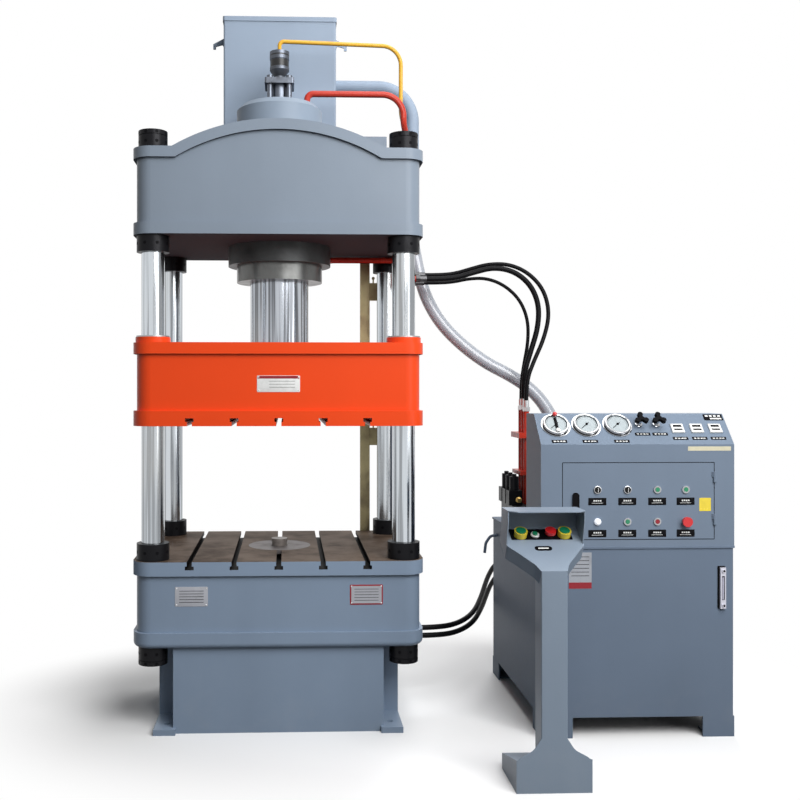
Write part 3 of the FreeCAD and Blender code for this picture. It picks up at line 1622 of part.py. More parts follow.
def motor_body():
    """Ribbed motor with fan cowl, bell housing and pump, along Z."""
    pieces = [Part.makeCylinder(motor_diameter / 2, motor_length)]
    half_fin = motor_fin_width / 2
    fin_low = motor_diameter / 2 - motor_fin_height
    fin_high = motor_diameter / 2 + motor_fin_height
    for index in range(motor_fin_count):
        fin = box(-half_fin, half_fin, fin_low, fin_high, motor_fin_start, motor_fin_start + motor_fin_length)
        fin.rotate(vector(0, 0, 0), up, index * 360 / motor_fin_count)
        pieces.append(fin)
    cowl_start = vector(0, 0, motor_length - motor_cowl_overlap)
    pieces.append(rod(motor_diameter + 2 * motor_cowl_margin, motor_cowl_length, cowl_start))
    bell_start = vector(0, 0, -bell_length)
    pieces.append(Part.makeCone(pump_diameter / 2, bell_diameter / 2, bell_length, bell_start))
    pieces.append(rod(pump_diameter, pump_length, bell_start - up * pump_length))
    return fused(pieces)


def make_pump_motor():
    """Motor and pump lying on two feet on the cover, with a terminal box on top."""
    pieces = [placed(motor_body(), vector(motor_x, motor_y, motor_axis_height), right)]
    foot_top = motor_axis_height - motor_diameter / 4
    y_low = motor_y - motor_foot_half_depth
    y_high = motor_y + motor_foot_half_depth
    for start in motor_foot_starts:
        x_low = motor_x + start
        pieces.append(box(x_low, x_low + motor_foot_width, y_low, y_high, cover_top, foot_top))
    x_low = motor_x + junction_start
    half = junction_width / 2
    top = motor_axis_height + motor_diameter / 2 + junction_height
    pieces.append(box(x_low, x_low + junction_width, motor_y - half, motor_y + half, motor_axis_height, top))
    return fused(pieces)


def make_valve_block():
    """Manifold with solenoid valves on top and a fitting beside it."""
    x_low = valve_x - valve_width / 2
    x_high = valve_x + valve_width / 2
    y_low = valve_y - valve_depth / 2
    y_high = valve_y + valve_depth / 2
    valve_low = cover_top + manifold_height
    manifold = box(x_low, x_high, y_low, y_high, cover_top, valve_low)
    edges = [edge for edge in manifold.Edges if abs(edge.CenterOfMass.z - valve_low) < tiny]
    pieces = [manifold.makeChamfer(manifold_chamfer, edges)]
    body_x = x_low - valve_offset
    half = valve_size / 2 - valve_depth_gap
    coil_low = valve_low + valve_body_height
    for index in range(valve_count):
        y = valve_y + (index - (valve_count - 1) / 2) * valve_pitch
        body = box(body_x, body_x + valve_size, y - half, y + half, valve_low, coil_low)
        coil_base = vector(body_x + valve_size / 2, y, coil_low)
        coil = rod(solenoid_diameter, solenoid_length, coil_base)
        knob = rod(override_diameter, override_height, coil_base + up * solenoid_length)
        pieces += [body, coil, knob]
    return fused(pieces)


def make_riser_pipes():
    """Three risers from the manifold with a clamp band between them."""
    pieces = []
    for y, top in zip(riser_places, riser_tops):
        low = cover_top + manifold_height
        pieces.append(rod(riser_diameter, top - low, vector(riser_x, y, low)))
    y_low = riser_places[0] - riser_diameter / 2 - clamp_margin
    y_high = riser_places[-1] + riser_diameter / 2 + clamp_margin
    half = riser_diameter / 2 + clamp_margin / 2
    clamp_low = clamp_middle - clamp_height / 2
    band_x = riser_x - half - clamp_left_extra
    pieces.append(box(band_x, riser_x + half, y_low, y_high, clamp_low, clamp_low + clamp_height))
    low_z = clamp_middle - low_clamp_drop
    low_x = riser_x - half - low_clamp_left_extra
    pieces.append(box(low_x, riser_x + half, y_low, y_high, low_z, low_z + low_clamp_height))
    return fused(pieces)


def make_level_gauge():
    """Oil level gauge: a bar with a sight window and two screws."""
    half = level_width / 2
    long = level_length / 2
    face = unit_front - level_depth
    z_pair = (level_middle - long, level_middle + long)
    bar = rounded_case(level_x - half, level_x + half, face, unit_front, *z_pair)
    window_x = level_window_width / 2
    window_z = long - level_window_margin
    window = box(
        level_x - window_x, level_x + window_x, face - 1, face + level_window_depth,
        level_middle - window_z, level_middle + window_z,
    )
    pieces = [bar.cut(window)]
    for side in (-1, 1):
        middle = vector(level_x, face, level_middle + side * (long - level_screw_inset))
        pieces.append(rod(level_screw_diameter, level_screw_height, middle, front))
    return fused(pieces)


def stand_wedge(inset):
    """Sloping block of the stand's foot, drawn inward by inset."""
    x = stand_x - stand_width / 2 + inset
    near = stand_front + inset
    far = stand_front + stand_base_depth - inset
    corners = [
        vector(x, near, 0), vector(x, near, stand_base_height - inset),
        vector(x, far, stand_base_back - inset), vector(x, far, 0),
    ]
    return rounded_face(corners, [0.0] * len(corners)).extrude(right * (stand_width - 2 * inset))


def stand_base():
    """Folded foot of the stand, open below, with its shaped front plate."""
    half = stand_width / 2
    post_half = stand_post_width / 2
    right_half = [
        (half, stand_plate_low, 0.0), (half, stand_base_height, stand_plate_round),
        (post_half + stand_plate_neck, stand_base_height + stand_plate_rise, stand_neck_round),
        (post_half, stand_shoulder, 0.0),
    ]
    left_half = [(-offset, height, radius) for offset, height, radius in reversed(right_half)]
    outline = right_half + left_half
    corners = [vector(stand_x + offset, stand_front, height) for offset, height, _ in outline]
    plate = rounded_face(corners, [radius for _, _, radius in outline]).extrude(back * stand_wall)
    return [stand_wedge(0.0).cut(stand_wedge(stand_wall)), plate]


def face_point(offset, place):
    """Point on the stand's control face, place running from 0 at the bend to 1."""
    return vector(stand_x + offset, stand_front, stand_bend) + face_up * (face_length * place)


def head_slab():
    """Flared control box of the stand's head."""
    post_half = stand_post_width / 2
    half = stand_head_width / 2
    wide = stand_full_width_at
    sides = (
        (post_half, 0.0, 0.0), (post_half + stand_flare, stand_flare_start, stand_flare_round),
        (half - stand_flare_end, wide - stand_flare_margin, stand_flare_round),
        (half, wide, stand_shoulder_round), (half, 1.0, 0.0),
    )
    outline = [face_point(offset, place) for offset, place, _ in sides]
    outline += [face_point(-offset, place) for offset, place, _ in reversed(sides)]
    radii = [radius for _, _, radius in sides]
    return rounded_face(outline, radii + radii[::-1]).extrude(face_normal * -stand_head_thickness)


def stand_head():
    """Head of the stand: flared control box, cheeks, back wall and hood."""
    half = stand_head_width / 2
    top_y = stand_front + stand_face_run
    top_z = stand_bend + stand_face_rise
    wide_point = face_point(half, stand_full_width_at)
    hood_front = stand_front + stand_hood_setback
    cut_y = hood_front + stand_hood_front_cut
    pieces = [head_slab()]
    for side in (-1, 1):
        x = stand_x + side * half
        cheek = [
            vector(x, wide_point.y + cheek_inset, wide_point.z + cheek_rise),
            vector(x, cut_y, stand_hood_height - cheek_height), vector(x, cut_y, stand_hood_height),
            vector(x, top_y, stand_hood_height), vector(x, top_y, top_z - cheek_drop),
        ]
        pieces.append(rounded_face(cheek, [0.0] * len(cheek)).extrude(right * -side * stand_wall))
    rear_low = top_z - stand_hood_rear_drop
    pieces.append(box(stand_x - half, stand_x + half, top_y - stand_wall, top_y, rear_low, stand_hood_height))
    hood_low = stand_hood_height - stand_wall
    cut_half = half - stand_hood_front_cut
    plan = [
        (-half, top_y), (-half, cut_y), (-cut_half, hood_front),
        (cut_half, hood_front), (half, cut_y), (half, top_y),
    ]
    corners = [vector(stand_x + offset, y, hood_low) for offset, y in plan]
    pieces.append(rounded_face(corners, [0.0] * len(corners)).extrude(up * stand_wall))
    return pieces


def stand_switches():
    """Places of the stand's four switches on its face, palm buttons first."""
    return [
        face_point(-palm_half_pitch, palm_slope_place), face_point(palm_half_pitch, palm_slope_place),
        face_point(start_offset, palm_slope_place), face_point(stop_offset, palm_slope_place),
    ]


def make_stand():
    """Two-hand control stand as one folded and welded piece."""
    middle = (stand_x, stand_front + stand_post_depth / 2)
    section = (stand_post_width, stand_post_depth, stand_post_round)
    post = rounded_slab(*section, stand_base_back, stand_bend, middle)
    body = fused(stand_base() + [post] + stand_head())
    holes = []
    for place in stand_switches():
        start = place - face_normal * (switch_body_length + cutter_reach)
        length = switch_body_length + 2 * cutter_reach
        holes.append(rod(bezel_shank_diameter + 2 * fit_gap, length, start, face_normal))
    return body.cut(holes)


def palm_guard():
    """Yellow collar round a palm button, with its shank."""
    outer = guard_diameter / 2
    bore = guard_bore / 2
    shank = bezel_shank_diameter / 2
    section = [
        (0, -switch_body_length), (shank, -switch_body_length), (shank, 0),
        (outer, 0), (outer, guard_height), (bore, guard_height),
        (bore, guard_floor), (0, guard_floor),
    ]
    return turned(section)


def make_stand_collars():
    """Palm guards and switch bezels of the stand."""
    places = stand_switches()
    pieces = [placed(palm_guard(), place, face_normal) for place in places[:2]]
    pieces += [placed(bezel(), place, face_normal) for place in places[2:]]
    return Part.makeCompound(pieces)


def make_palm_button(place):
    """Palm button in its guard."""
    low = guard_floor + palm_travel + button_gap
    cap = rod(palm_diameter, guard_height + palm_stand_out - low, vector(0, 0, low))
    return placed(cap, place, face_normal)


def fitting(diameter):
    """Crimped hose end along Z: the union nut at the pipe, then the ferrule."""
    ferrule_low = vector(0, 0, hose_nut_length)
    ferrule = rod(diameter + ferrule_extra, ferrule_length - hose_nut_length, ferrule_low)
    return fused([hexagon_head(diameter + hose_nut_extra, hose_nut_length), ferrule])


def make_hose_fittings():
    """Fittings at the ends of the black hoses."""
    pieces = []
    diameters = (pilot_hose_diameter, pressure_hose_diameter, return_hose_diameter)
    places = (pilot_pipe_y, pressure_pipe_y, return_pipe_y)
    heights = (pilot_pipe_end, pressure_pipe_end, return_pipe_end)
    for diameter, y, z in zip(diameters, places, heights):
        pieces.append(placed(fitting(diameter), vector(pipe_end_x, y, z), right))
    for diameter, y, top in zip(diameters, riser_places, riser_tops):
        pieces.append(placed(fitting(diameter), vector(riser_x, y, top), up))
    lower = fitting(lower_hose_diameter)
    for height in lower_port_heights:
        pieces.append(placed(lower, vector(plinth_wing_x + port_boss_length, 0, height), right))
    for height in unit_port_heights:
        pieces.append(placed(lower, vector(unit_port_x, unit_back + port_boss_length, height), back))
    return Part.makeCompound(pieces)


def build_press():
    """Press frame, cylinder, slide and pipes."""
    export("base_plinth", make_plinth())
    export("bed", make_bed())
    export("table_plate", make_table_plate())
    export("crown", make_crown())
    export("columns", make_columns())
    export("column_nuts", make_column_nuts())
    export("main_cylinder", make_main_cylinder())
    export("cylinder_gland", make_gland())
    export("ram", make_ram())
    export("slide_block", make_slide_block())
    export("slide_plate", make_slide_plate())
    export("slide_bushes", make_slide_bushes())
    export("ejector_ring", make_ejector_ring())
    export("ejector_cylinder", make_ejector_cylinder())
    export("ejector_rod", make_ejector_rod())
    export("prefill_valve", make_prefill_valve())
    export("pilot_valve", make_pilot_valve())
    export("filling_tank", make_filling_tank())
    export("tank_lid", make_tank_lid())
    export("filling_pipe", make_filling_pipe())
    export("pilot_pipe", make_pilot_pipe())
    export("pressure_pipe", make_pressure_pipe())
    export("return_pipe", make_return_pipe())
    export("switch_rail", Part.makeCompound([make_scale_rail()] + make_limit_switches()))


def build_power_unit():
    """Oil tank, panel box and what they carry."""
    export("oil_tank", make_oil_tank())
    export("oil_tank_cover", make_tank_cover())
    export("panel_box", make_panel_box())
    export("control_gear", make_control_gear())
    export("cabinet_door", make_cabinet_door())
    export("door_handle", make_door_handle())
    export("pressure_gauges", make_gauges())
    export("panel_fittings", make_panel_fittings())
    export("valve_knob_left", make_valve_knob(knob_positions[0]))
    export("valve_knob_right", make_valve_knob(knob_positions[1]))
    export("door_bezels", make_door_bezels())
    export("signal_lamp", make_signal_lamp())
    export("selector_left", make_selector(panel_point(0, 0)))
    export("selector_right", make_selector(panel_point(1, 0)))
    export("green_button_upper_left", make_push_button(panel_point(2, 0), front))
    export("green_button_upper_right", make_push_button(panel_point(3, 0), front))
    export("green_button_lower", make_push_button(panel_point(1, 1), front))
    export("red_button", make_push_button(panel_point(2, 1), front))
    export("panel_stop_button", placed(mushroom(), panel_point(3, 1), front))
    export("pump_motor", make_pump_motor())
    export("valve_block", make_valve_block())
    export("riser_pipes", make_riser_pipes())
    export("level_gauge", make_level_gauge())


def build_stand():
    """Two-hand control stand and its switches."""
    places = stand_switches()
    export("control_stand", make_stand())
    export("stand_collars", make_stand_collars())
    export("palm_button_left", make_palm_button(places[0]))
    export("palm_button_right", make_palm_button(places[1]))
    export("stand_start_button", make_push_button(places[2], face_normal))
    export("stand_stop_button", placed(mushroom(), places[3], face_normal))


def build_hoses():
    """Free hoses and their fittings."""
    export("hose_fittings", make_hose_fittings())
    export("clear_hose", hose("clear_hose", clear_hose_route, clear_hose_diameter))
    export("pilot_hose", hose("pilot_hose", pilot_hose_route, pilot_hose_diameter))
    export("pressure_hose", hose("pressure_hose", pressure_hose_route, pressure_hose_diameter))
    export("return_hose", hose("return_hose", return_hose_route, return_hose_diameter))
    for name, route in zip(("lower_hose_upper", "lower_hose_lower"), lower_hose_routes):
        export(name, hose(name, route, lower_hose_diameter))


def main():
    os.makedirs("parts", exist_ok=True)
    build_press()
    build_power_unit()
    build_stand()
    build_hoses()


main()
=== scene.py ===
"""Looks of a four-column hydraulic press with its power unit and two-hand stand."""

import json
import logging
import math
from dataclasses import dataclass, field
from enum import Enum
from typing import Any, Mapping, Sequence, Union

import bmesh
import bpy
from mathutils import Matrix, Vector
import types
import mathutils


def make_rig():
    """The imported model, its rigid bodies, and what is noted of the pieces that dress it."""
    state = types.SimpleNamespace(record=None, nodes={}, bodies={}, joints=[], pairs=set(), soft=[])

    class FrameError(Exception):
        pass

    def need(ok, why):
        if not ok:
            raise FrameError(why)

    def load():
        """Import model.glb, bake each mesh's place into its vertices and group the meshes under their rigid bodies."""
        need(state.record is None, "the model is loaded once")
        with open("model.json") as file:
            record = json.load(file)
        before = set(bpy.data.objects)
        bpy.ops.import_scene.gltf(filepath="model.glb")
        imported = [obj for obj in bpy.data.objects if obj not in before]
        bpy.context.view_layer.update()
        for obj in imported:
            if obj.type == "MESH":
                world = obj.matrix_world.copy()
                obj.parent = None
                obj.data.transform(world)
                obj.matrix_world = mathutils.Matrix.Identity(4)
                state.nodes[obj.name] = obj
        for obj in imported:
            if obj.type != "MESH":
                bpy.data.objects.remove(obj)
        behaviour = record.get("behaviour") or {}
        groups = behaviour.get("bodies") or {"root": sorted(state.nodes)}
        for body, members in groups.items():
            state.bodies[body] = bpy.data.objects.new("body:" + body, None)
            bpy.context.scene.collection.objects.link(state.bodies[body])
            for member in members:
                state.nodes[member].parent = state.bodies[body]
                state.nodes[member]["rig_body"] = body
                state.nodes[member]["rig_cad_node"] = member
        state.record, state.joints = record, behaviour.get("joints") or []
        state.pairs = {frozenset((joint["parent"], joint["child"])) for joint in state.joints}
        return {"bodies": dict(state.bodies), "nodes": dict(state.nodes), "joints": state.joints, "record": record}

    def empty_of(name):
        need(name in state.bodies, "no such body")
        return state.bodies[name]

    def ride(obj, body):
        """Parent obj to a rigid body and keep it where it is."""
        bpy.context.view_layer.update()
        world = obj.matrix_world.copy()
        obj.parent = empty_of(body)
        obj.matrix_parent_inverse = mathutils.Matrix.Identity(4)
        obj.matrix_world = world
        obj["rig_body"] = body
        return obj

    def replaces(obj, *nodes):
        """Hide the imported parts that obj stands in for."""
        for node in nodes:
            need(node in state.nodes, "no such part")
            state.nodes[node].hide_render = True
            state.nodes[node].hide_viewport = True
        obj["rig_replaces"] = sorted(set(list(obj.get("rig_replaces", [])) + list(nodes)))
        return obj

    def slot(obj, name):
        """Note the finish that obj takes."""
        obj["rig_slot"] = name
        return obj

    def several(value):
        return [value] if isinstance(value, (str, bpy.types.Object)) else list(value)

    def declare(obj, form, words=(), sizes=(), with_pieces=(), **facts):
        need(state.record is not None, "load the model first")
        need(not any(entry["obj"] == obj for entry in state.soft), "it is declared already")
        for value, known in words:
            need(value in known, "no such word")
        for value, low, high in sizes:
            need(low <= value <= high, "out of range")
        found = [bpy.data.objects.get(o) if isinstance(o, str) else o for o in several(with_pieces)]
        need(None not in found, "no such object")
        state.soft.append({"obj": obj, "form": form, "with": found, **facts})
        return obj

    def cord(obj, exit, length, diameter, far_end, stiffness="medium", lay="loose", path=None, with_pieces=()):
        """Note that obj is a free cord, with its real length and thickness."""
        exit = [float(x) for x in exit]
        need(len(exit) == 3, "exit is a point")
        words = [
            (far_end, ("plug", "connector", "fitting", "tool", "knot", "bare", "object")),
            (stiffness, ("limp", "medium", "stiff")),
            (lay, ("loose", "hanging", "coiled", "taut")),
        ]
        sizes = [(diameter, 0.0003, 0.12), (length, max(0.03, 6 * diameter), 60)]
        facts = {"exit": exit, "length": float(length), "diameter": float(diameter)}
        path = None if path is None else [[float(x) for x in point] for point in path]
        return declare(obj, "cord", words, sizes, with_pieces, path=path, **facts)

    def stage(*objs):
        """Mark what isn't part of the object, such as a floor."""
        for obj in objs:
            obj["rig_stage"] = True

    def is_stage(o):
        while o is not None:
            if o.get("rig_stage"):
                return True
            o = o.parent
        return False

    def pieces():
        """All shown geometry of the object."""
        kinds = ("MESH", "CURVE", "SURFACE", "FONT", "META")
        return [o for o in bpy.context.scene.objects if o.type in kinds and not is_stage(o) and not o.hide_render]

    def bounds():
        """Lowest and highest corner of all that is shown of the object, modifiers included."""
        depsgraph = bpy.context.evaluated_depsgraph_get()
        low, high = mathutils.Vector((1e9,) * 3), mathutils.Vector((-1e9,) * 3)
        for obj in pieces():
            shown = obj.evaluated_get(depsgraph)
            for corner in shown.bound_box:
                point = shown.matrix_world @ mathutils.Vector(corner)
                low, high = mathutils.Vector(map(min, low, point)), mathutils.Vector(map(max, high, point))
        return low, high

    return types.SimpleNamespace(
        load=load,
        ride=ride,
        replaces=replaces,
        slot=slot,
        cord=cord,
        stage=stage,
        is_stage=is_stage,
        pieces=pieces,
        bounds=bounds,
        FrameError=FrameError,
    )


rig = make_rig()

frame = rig.load()
log = logging.getLogger("press")

Colour = tuple[float, float, float]
Point = tuple[float, float, float]
Pair = tuple[float, float]
Profile = Sequence[Pair]
Sockets = dict[str, Any]

UP = Vector((0.0, 0.0, 1.0))
FRONT = Vector((0.0, -1.0, 0.0))
BACK = Vector((0.0, 1.0, 0.0))
RIGHT = Vector((1.0, 0.0, 0.0))
SIDES = (-1, 1)
PROUD = 0.0004  # metres that print stands out of its plate


class Signal:
    """A node's output that takes part in Python expressions."""

    def __init__(self, graph: "Graph", socket: bpy.types.NodeSocket) -> None:
        """Wrap one output socket.

        Args:
            graph: Node graph that the socket belongs to.
            socket: The output socket.
        """
        self.graph = graph
        self.socket = socket

    def _math(self, operation: str, *values: "Value") -> "Signal":
        """Math node of that operation, on the values in order."""
        return self.graph.add("ShaderNodeMath", {"operation": operation}, dict(enumerate(values)))

    def __add__(self, other: "Value") -> "Signal":
        """Sum."""
        return self._math("ADD", self, other)

    __radd__ = __add__

    def __sub__(self, other: "Value") -> "Signal":
        """Difference."""
        return self._math("SUBTRACT", self, other)

    def __rsub__(self, other: "Value") -> "Signal":
        """Difference from a number."""
        return self._math("SUBTRACT", other, self)

    def __mul__(self, other: "Value") -> "Signal":
        """Product."""
        return self._math("MULTIPLY", self, other)

    __rmul__ = __mul__

    def __pow__(self, other: "Value") -> "Signal":
        """Power."""
        return self._math("POWER", self, other)

    def __neg__(self) -> "Signal":
        """Opposite."""
        return self._math("MULTIPLY", self, -1.0)

    def at_least(self, other: "Value") -> "Signal":
        """Larger of the two."""
        return self._math("MAXIMUM", self, other)

    def size(self) -> "Signal":
        """Absolute value."""
        return self._math("ABSOLUTE", self)

    def step(self, low: float, high: float) -> "Signal":
        """Smooth rise from 0 where the signal is low to 1 where it is high."""
        inputs = {"Value": self, "From Min": low, "From Max": high}
        return self.graph.add("ShaderNodeMapRange", {"interpolation_type": "SMOOTHSTEP"}, inputs)


Value = Union[Signal, float]


class Graph:
    """Node graph of a material or of the world."""

    def __init__(self, holder: Union[bpy.types.Material, bpy.types.World]) -> None:
        """Start the holder's graph anew.

        Args:
            holder: The material or world.
        """
        holder.use_nodes = True
        self.holder = holder
        self.tree = holder.node_tree
        self.tree.nodes.clear()

    def add(self, kind: str, settings: Mapping[str, Any], inputs: Mapping[Any, Any],
            output: Union[int, str] = 0) -> Signal:
        """Add a node: its settings first, then its sockets' values or links.

        Args:
            kind: Blender's type name of the node.
            settings: Properties of the node.
            inputs: Values or signals by socket name or number.
            output: Name or number of the output that is wanted.

        Returns:
            The chosen output.
        """
        node = self.tree.nodes.new(kind)
        for key, value in settings.items():
            setattr(node, key, value)
        for key, value in inputs.items():
            if isinstance(value, Signal):
                self.tree.links.new(value.socket, node.inputs[key])
            else:
                node.inputs[key].default_value = value
        return Signal(self, node.outputs[output])

    def place(self) -> Signal:
        """Position on the object, in metres of the frame."""
        return self.add("ShaderNodeTexCoord", {}, {}, "Object")

    def axis(self, name: str) -> Signal:
        """Coordinate X, Y or Z of the position, in metres."""
        return self.add("ShaderNodeSeparateXYZ", {}, {0: self.place()}, name)

    def facing(self, name: str) -> Signal:
        """Component X, Y or Z of the surface's direction, from -1 to 1."""
        normal = self.add("ShaderNodeNewGeometry", {}, {}, "Normal")
        return self.add("ShaderNodeSeparateXYZ", {}, {0: normal}, name)

    def stretched(self, along: Point) -> Signal:
        """Position with each axis scaled."""
        return self.add("ShaderNodeVectorMath", {"operation": "MULTIPLY"}, {0: self.place(), 1: along})

    def noise(self, scale: float, detail: float = 4.0, along: Point = (1.0, 1.0, 1.0)) -> Signal:
        """Cloudy pattern from 0 to 1: its cells per metre, octaves and stretch on each axis."""
        inputs = {"Vector": self.stretched(along), "Scale": scale, "Detail": detail, "Roughness": 0.55}
        return self.add("ShaderNodeTexNoise", {}, inputs)

    def cells(self, scale: float, along: Point = (1.0, 1.0, 1.0)) -> Signal:
        """Distance to scattered points: how many per metre, and their stretch on each axis."""
        return self.add("ShaderNodeTexVoronoi", {}, {"Vector": self.stretched(along), "Scale": scale})

    def mix(self, share: Value, low: Any, high: Any) -> Signal:
        """Mix of two colours or signals, share being the part of the second."""
        pair = [(*c, 1.0) if isinstance(c, tuple) else c for c in (low, high)]
        return self.add("ShaderNodeMix", {"data_type": "RGBA"}, {0: share, 6: pair[0], 7: pair[1]}, 2)

    def tones(self, share: Value, colour: Colour, low: float, high: float = 1.0) -> Signal:
        """Mix of two tones of a colour, share being the part of the second."""
        return self.mix(share, shaded(colour, low), shaded(colour, high))

    def bump(self, height: Signal, depth: float) -> Signal:
        """Bent normal of a height pattern whose 1 is that many metres."""
        inputs = {"Height": height, "Distance": depth, "Strength": 1.0}
        return self.add("ShaderNodeBump", {}, inputs)

    def surface(self, inputs: Sockets) -> None:
        """Close the graph with its shader.

        Args:
            inputs: Values or signals of the shader's sockets.
        """
        values = {k: (*v, 1.0) if isinstance(v, tuple) and len(v) == 3 else v for k, v in inputs.items()}
        self.close(self.add("ShaderNodeBsdfPrincipled", {}, values))

    def close(self, shader: Signal, kind: str = "ShaderNodeOutputMaterial") -> None:
        """Link the shader to an output node of that kind."""
        output = self.tree.nodes.new(kind)
        self.tree.links.new(shader.socket, output.inputs["Surface"])


def shaded(colour: Colour, factor: float) -> Colour:
    """The colour made darker or lighter."""
    return tuple(min(1.0, c * factor) for c in colour)


class Finish:
    """A finish; each kind says what feeds its shader's sockets."""

    def sockets(self, graph: Graph) -> Sockets:
        """What feeds each socket, its nodes being added to the graph."""
        raise NotImplementedError

    def material(self, name: str) -> bpy.types.Material:
        """Build the finish as a material.

        Args:
            name: The material's name.

        Returns:
            The material.
        """
        graph = Graph(bpy.data.materials.new(name))
        graph.surface(self.sockets(graph))
        return graph.holder


@dataclass(frozen=True)
class Enamel(Finish):
    """Sprayed machine enamel with orange peel, soft mottling, settled dust and painted shade underneath."""

    colour: Colour
    gloss: float = 0.36
    mottling: float = 0.10
    dust: float = 0.05
    peel: float = 0.00012
    shine: float = 0.16
    coat: float = 0.06
    # painted shade: share of the colour that faces turning down keep
    underside_shade: float = 0.22
    nicks: float = 0.45
    dust_colour: Colour = (0.42, 0.40, 0.36)
    splash_height: float = 0.35

    def sockets(self, graph: Graph) -> Sockets:
        """Mottled paint, dusty on top and near the floor, darker and rougher underneath as painted shade.

        Args:
            graph: Graph of the material.

        Returns:
            What feeds each socket.
        """
        cloud = graph.noise(2.2, 5.0)
        fine = graph.noise(60.0, 3.0)
        runs = graph.noise(5.0, 3.0, (1.0, 1.0, 0.15))
        share = cloud * 0.6 + runs * 0.4
        tint = graph.tones(share, self.colour, 1.0 - self.mottling * 2.0, 1.0 + self.mottling)
        settled = graph.facing("Z").step(0.5, 1.0) * (cloud * 0.7 + fine * 0.3) * self.dust
        near_floor = 1.0 - graph.axis("Z").step(0.0, self.splash_height)
        splashed = near_floor * graph.noise(9.0).step(0.45, 0.75) * self.dust
        dirt = settled.at_least(splashed)
        specks = (1.0 - graph.cells(38.0).step(0.015, 0.03)) * cloud.step(0.5, 0.7)
        dusty = graph.mix(dirt, tint, self.dust_colour)
        nicked = graph.mix(specks * 0.5, dusty, shaded(self.colour, self.nicks))
        # painted shade: faces turned down get a darker copy of the paint, rougher and without coat
        below = (-graph.facing("Z")).step(0.75, 0.95)
        return {
            "Base Color": graph.mix(below, nicked, shaded(self.colour, self.underside_shade)),
            "Roughness": self.gloss + (fine - 0.5) * 0.10 + dirt * 0.5 + below * 0.5,
            "Specular IOR Level": self.shine,
            "Coat Weight": (1.0 - below) * self.coat, "Coat Roughness": 0.12,
            "Normal": graph.bump(graph.noise(420.0, 2.0) + graph.noise(90.0, 2.0) * 1.5, self.peel),
        }


@dataclass(frozen=True)
class CylinderPaint(Finish):
    """Cylinder enamelled over the crown and blackened below it."""

    colour: Colour
    dark: Colour
    change_height: float
    change_width: float = 0.002
    grain: float = 0.00015

    def sockets(self, graph: Graph) -> Sockets:
        """Paint above the change, dark steel below.

        Args:
            graph: Graph of the material.

        Returns:
            What feeds each socket.
        """
        half = self.change_width / 2
        above = graph.axis("Z").step(self.change_height - half, self.change_height + half)
        cloud = graph.noise(14.0, 5.0)
        dark = graph.tones(cloud, self.dark, 0.6, 1.5)
        paint = graph.tones(cloud, self.colour, 0.85)
        return {
            "Base Color": graph.mix(above, dark, paint), "Roughness": 0.34 + cloud * 0.2,
            "Metallic": (1.0 - above) * 0.6, "Specular IOR Level": 0.2,
            "Normal": graph.bump(graph.noise(260.0, 2.0), self.grain),
        }


@dataclass(frozen=True)
class Chromed(Finish):
    """Ground and chromed rod with oil haze, dark vertical streaks that are partly drawn marks and partly painted
    reflection, and faint turning marks.
    """

    colour: Colour
    gloss: float = 0.10
    haze: float = 0.12
    marks: float = 900.0
    mark_depth: float = 0.00001
    streaks: float = 60.0
    # share of the colour left in the streaks: drawn marks and painted reflection
    streak_and_reflection_shade: float = 0.50
    haze_colour: Colour = (0.50, 0.49, 0.46)

    def sockets(self, graph: Graph) -> Sockets:
        """Bright metal under haze and streaks, the streaks darkening it as drawn marks and painted reflection.

        Args:
            graph: Graph of the material.

        Returns:
            What feeds each socket.
        """
        haze = graph.noise(6.0, 5.0, (1.0, 1.0, 0.2)).step(0.45, 0.75)
        rings = graph.noise(self.marks, 1.0, (0.02, 0.02, 1.0))
        # painted reflection: dark vertical streaks in the colour, partly drawn marks and partly dark surroundings
        # mirrored
        drawn = graph.noise(self.streaks, 3.0, (1.0, 1.0, 0.012)).step(0.43, 0.57)
        metal = graph.tones(drawn, self.colour, self.streak_and_reflection_shade)
        return {
            "Base Color": graph.mix(haze * 0.4, metal, self.haze_colour),
            "Roughness": self.gloss + haze * self.haze + rings * 0.05, "Metallic": 1.0,
            "Normal": graph.bump(rings, self.mark_depth),
        }


@dataclass(frozen=True)
class Steel(Finish):
    """Bare or blackened steel with cutter marks, cloudy stain and pits."""

    colour: Colour
    stain: Colour
    gloss: float = 0.35
    stained: float = 0.5
    metal: float = 1.0
    shine: float = 0.5
    lay: Point = (40.0, 1.0, 1.0)
    relief: float = 0.0001

    def sockets(self, graph: Graph) -> Sockets:
        """Cut metal, stained in clouds and pitted.

        Args:
            graph: Graph of the material.

        Returns:
            What feeds each socket.
        """
        cut = graph.noise(30.0, 3.0, self.lay)
        clouds = graph.noise(5.0, 6.0) * 0.65 + graph.noise(17.0, 5.0) * 0.35
        share = clouds.step(0.62 - self.stained * 0.35, 0.72)
        tint = graph.mix(share, graph.tones(cut, self.colour, 0.78), self.stain)
        pits = 1.0 - graph.cells(120.0).step(0.06, 0.13)
        return {
            "Base Color": graph.mix(pits * 0.5, tint, shaded(self.stain, 0.4)),
            "Roughness": self.gloss + share * 0.18 + cut * 0.10,
            "Metallic": self.metal - share * (self.metal * 0.55), "Specular IOR Level": self.shine,
            "Normal": graph.bump(cut * 0.6 - pits * 0.5, self.relief),
        }


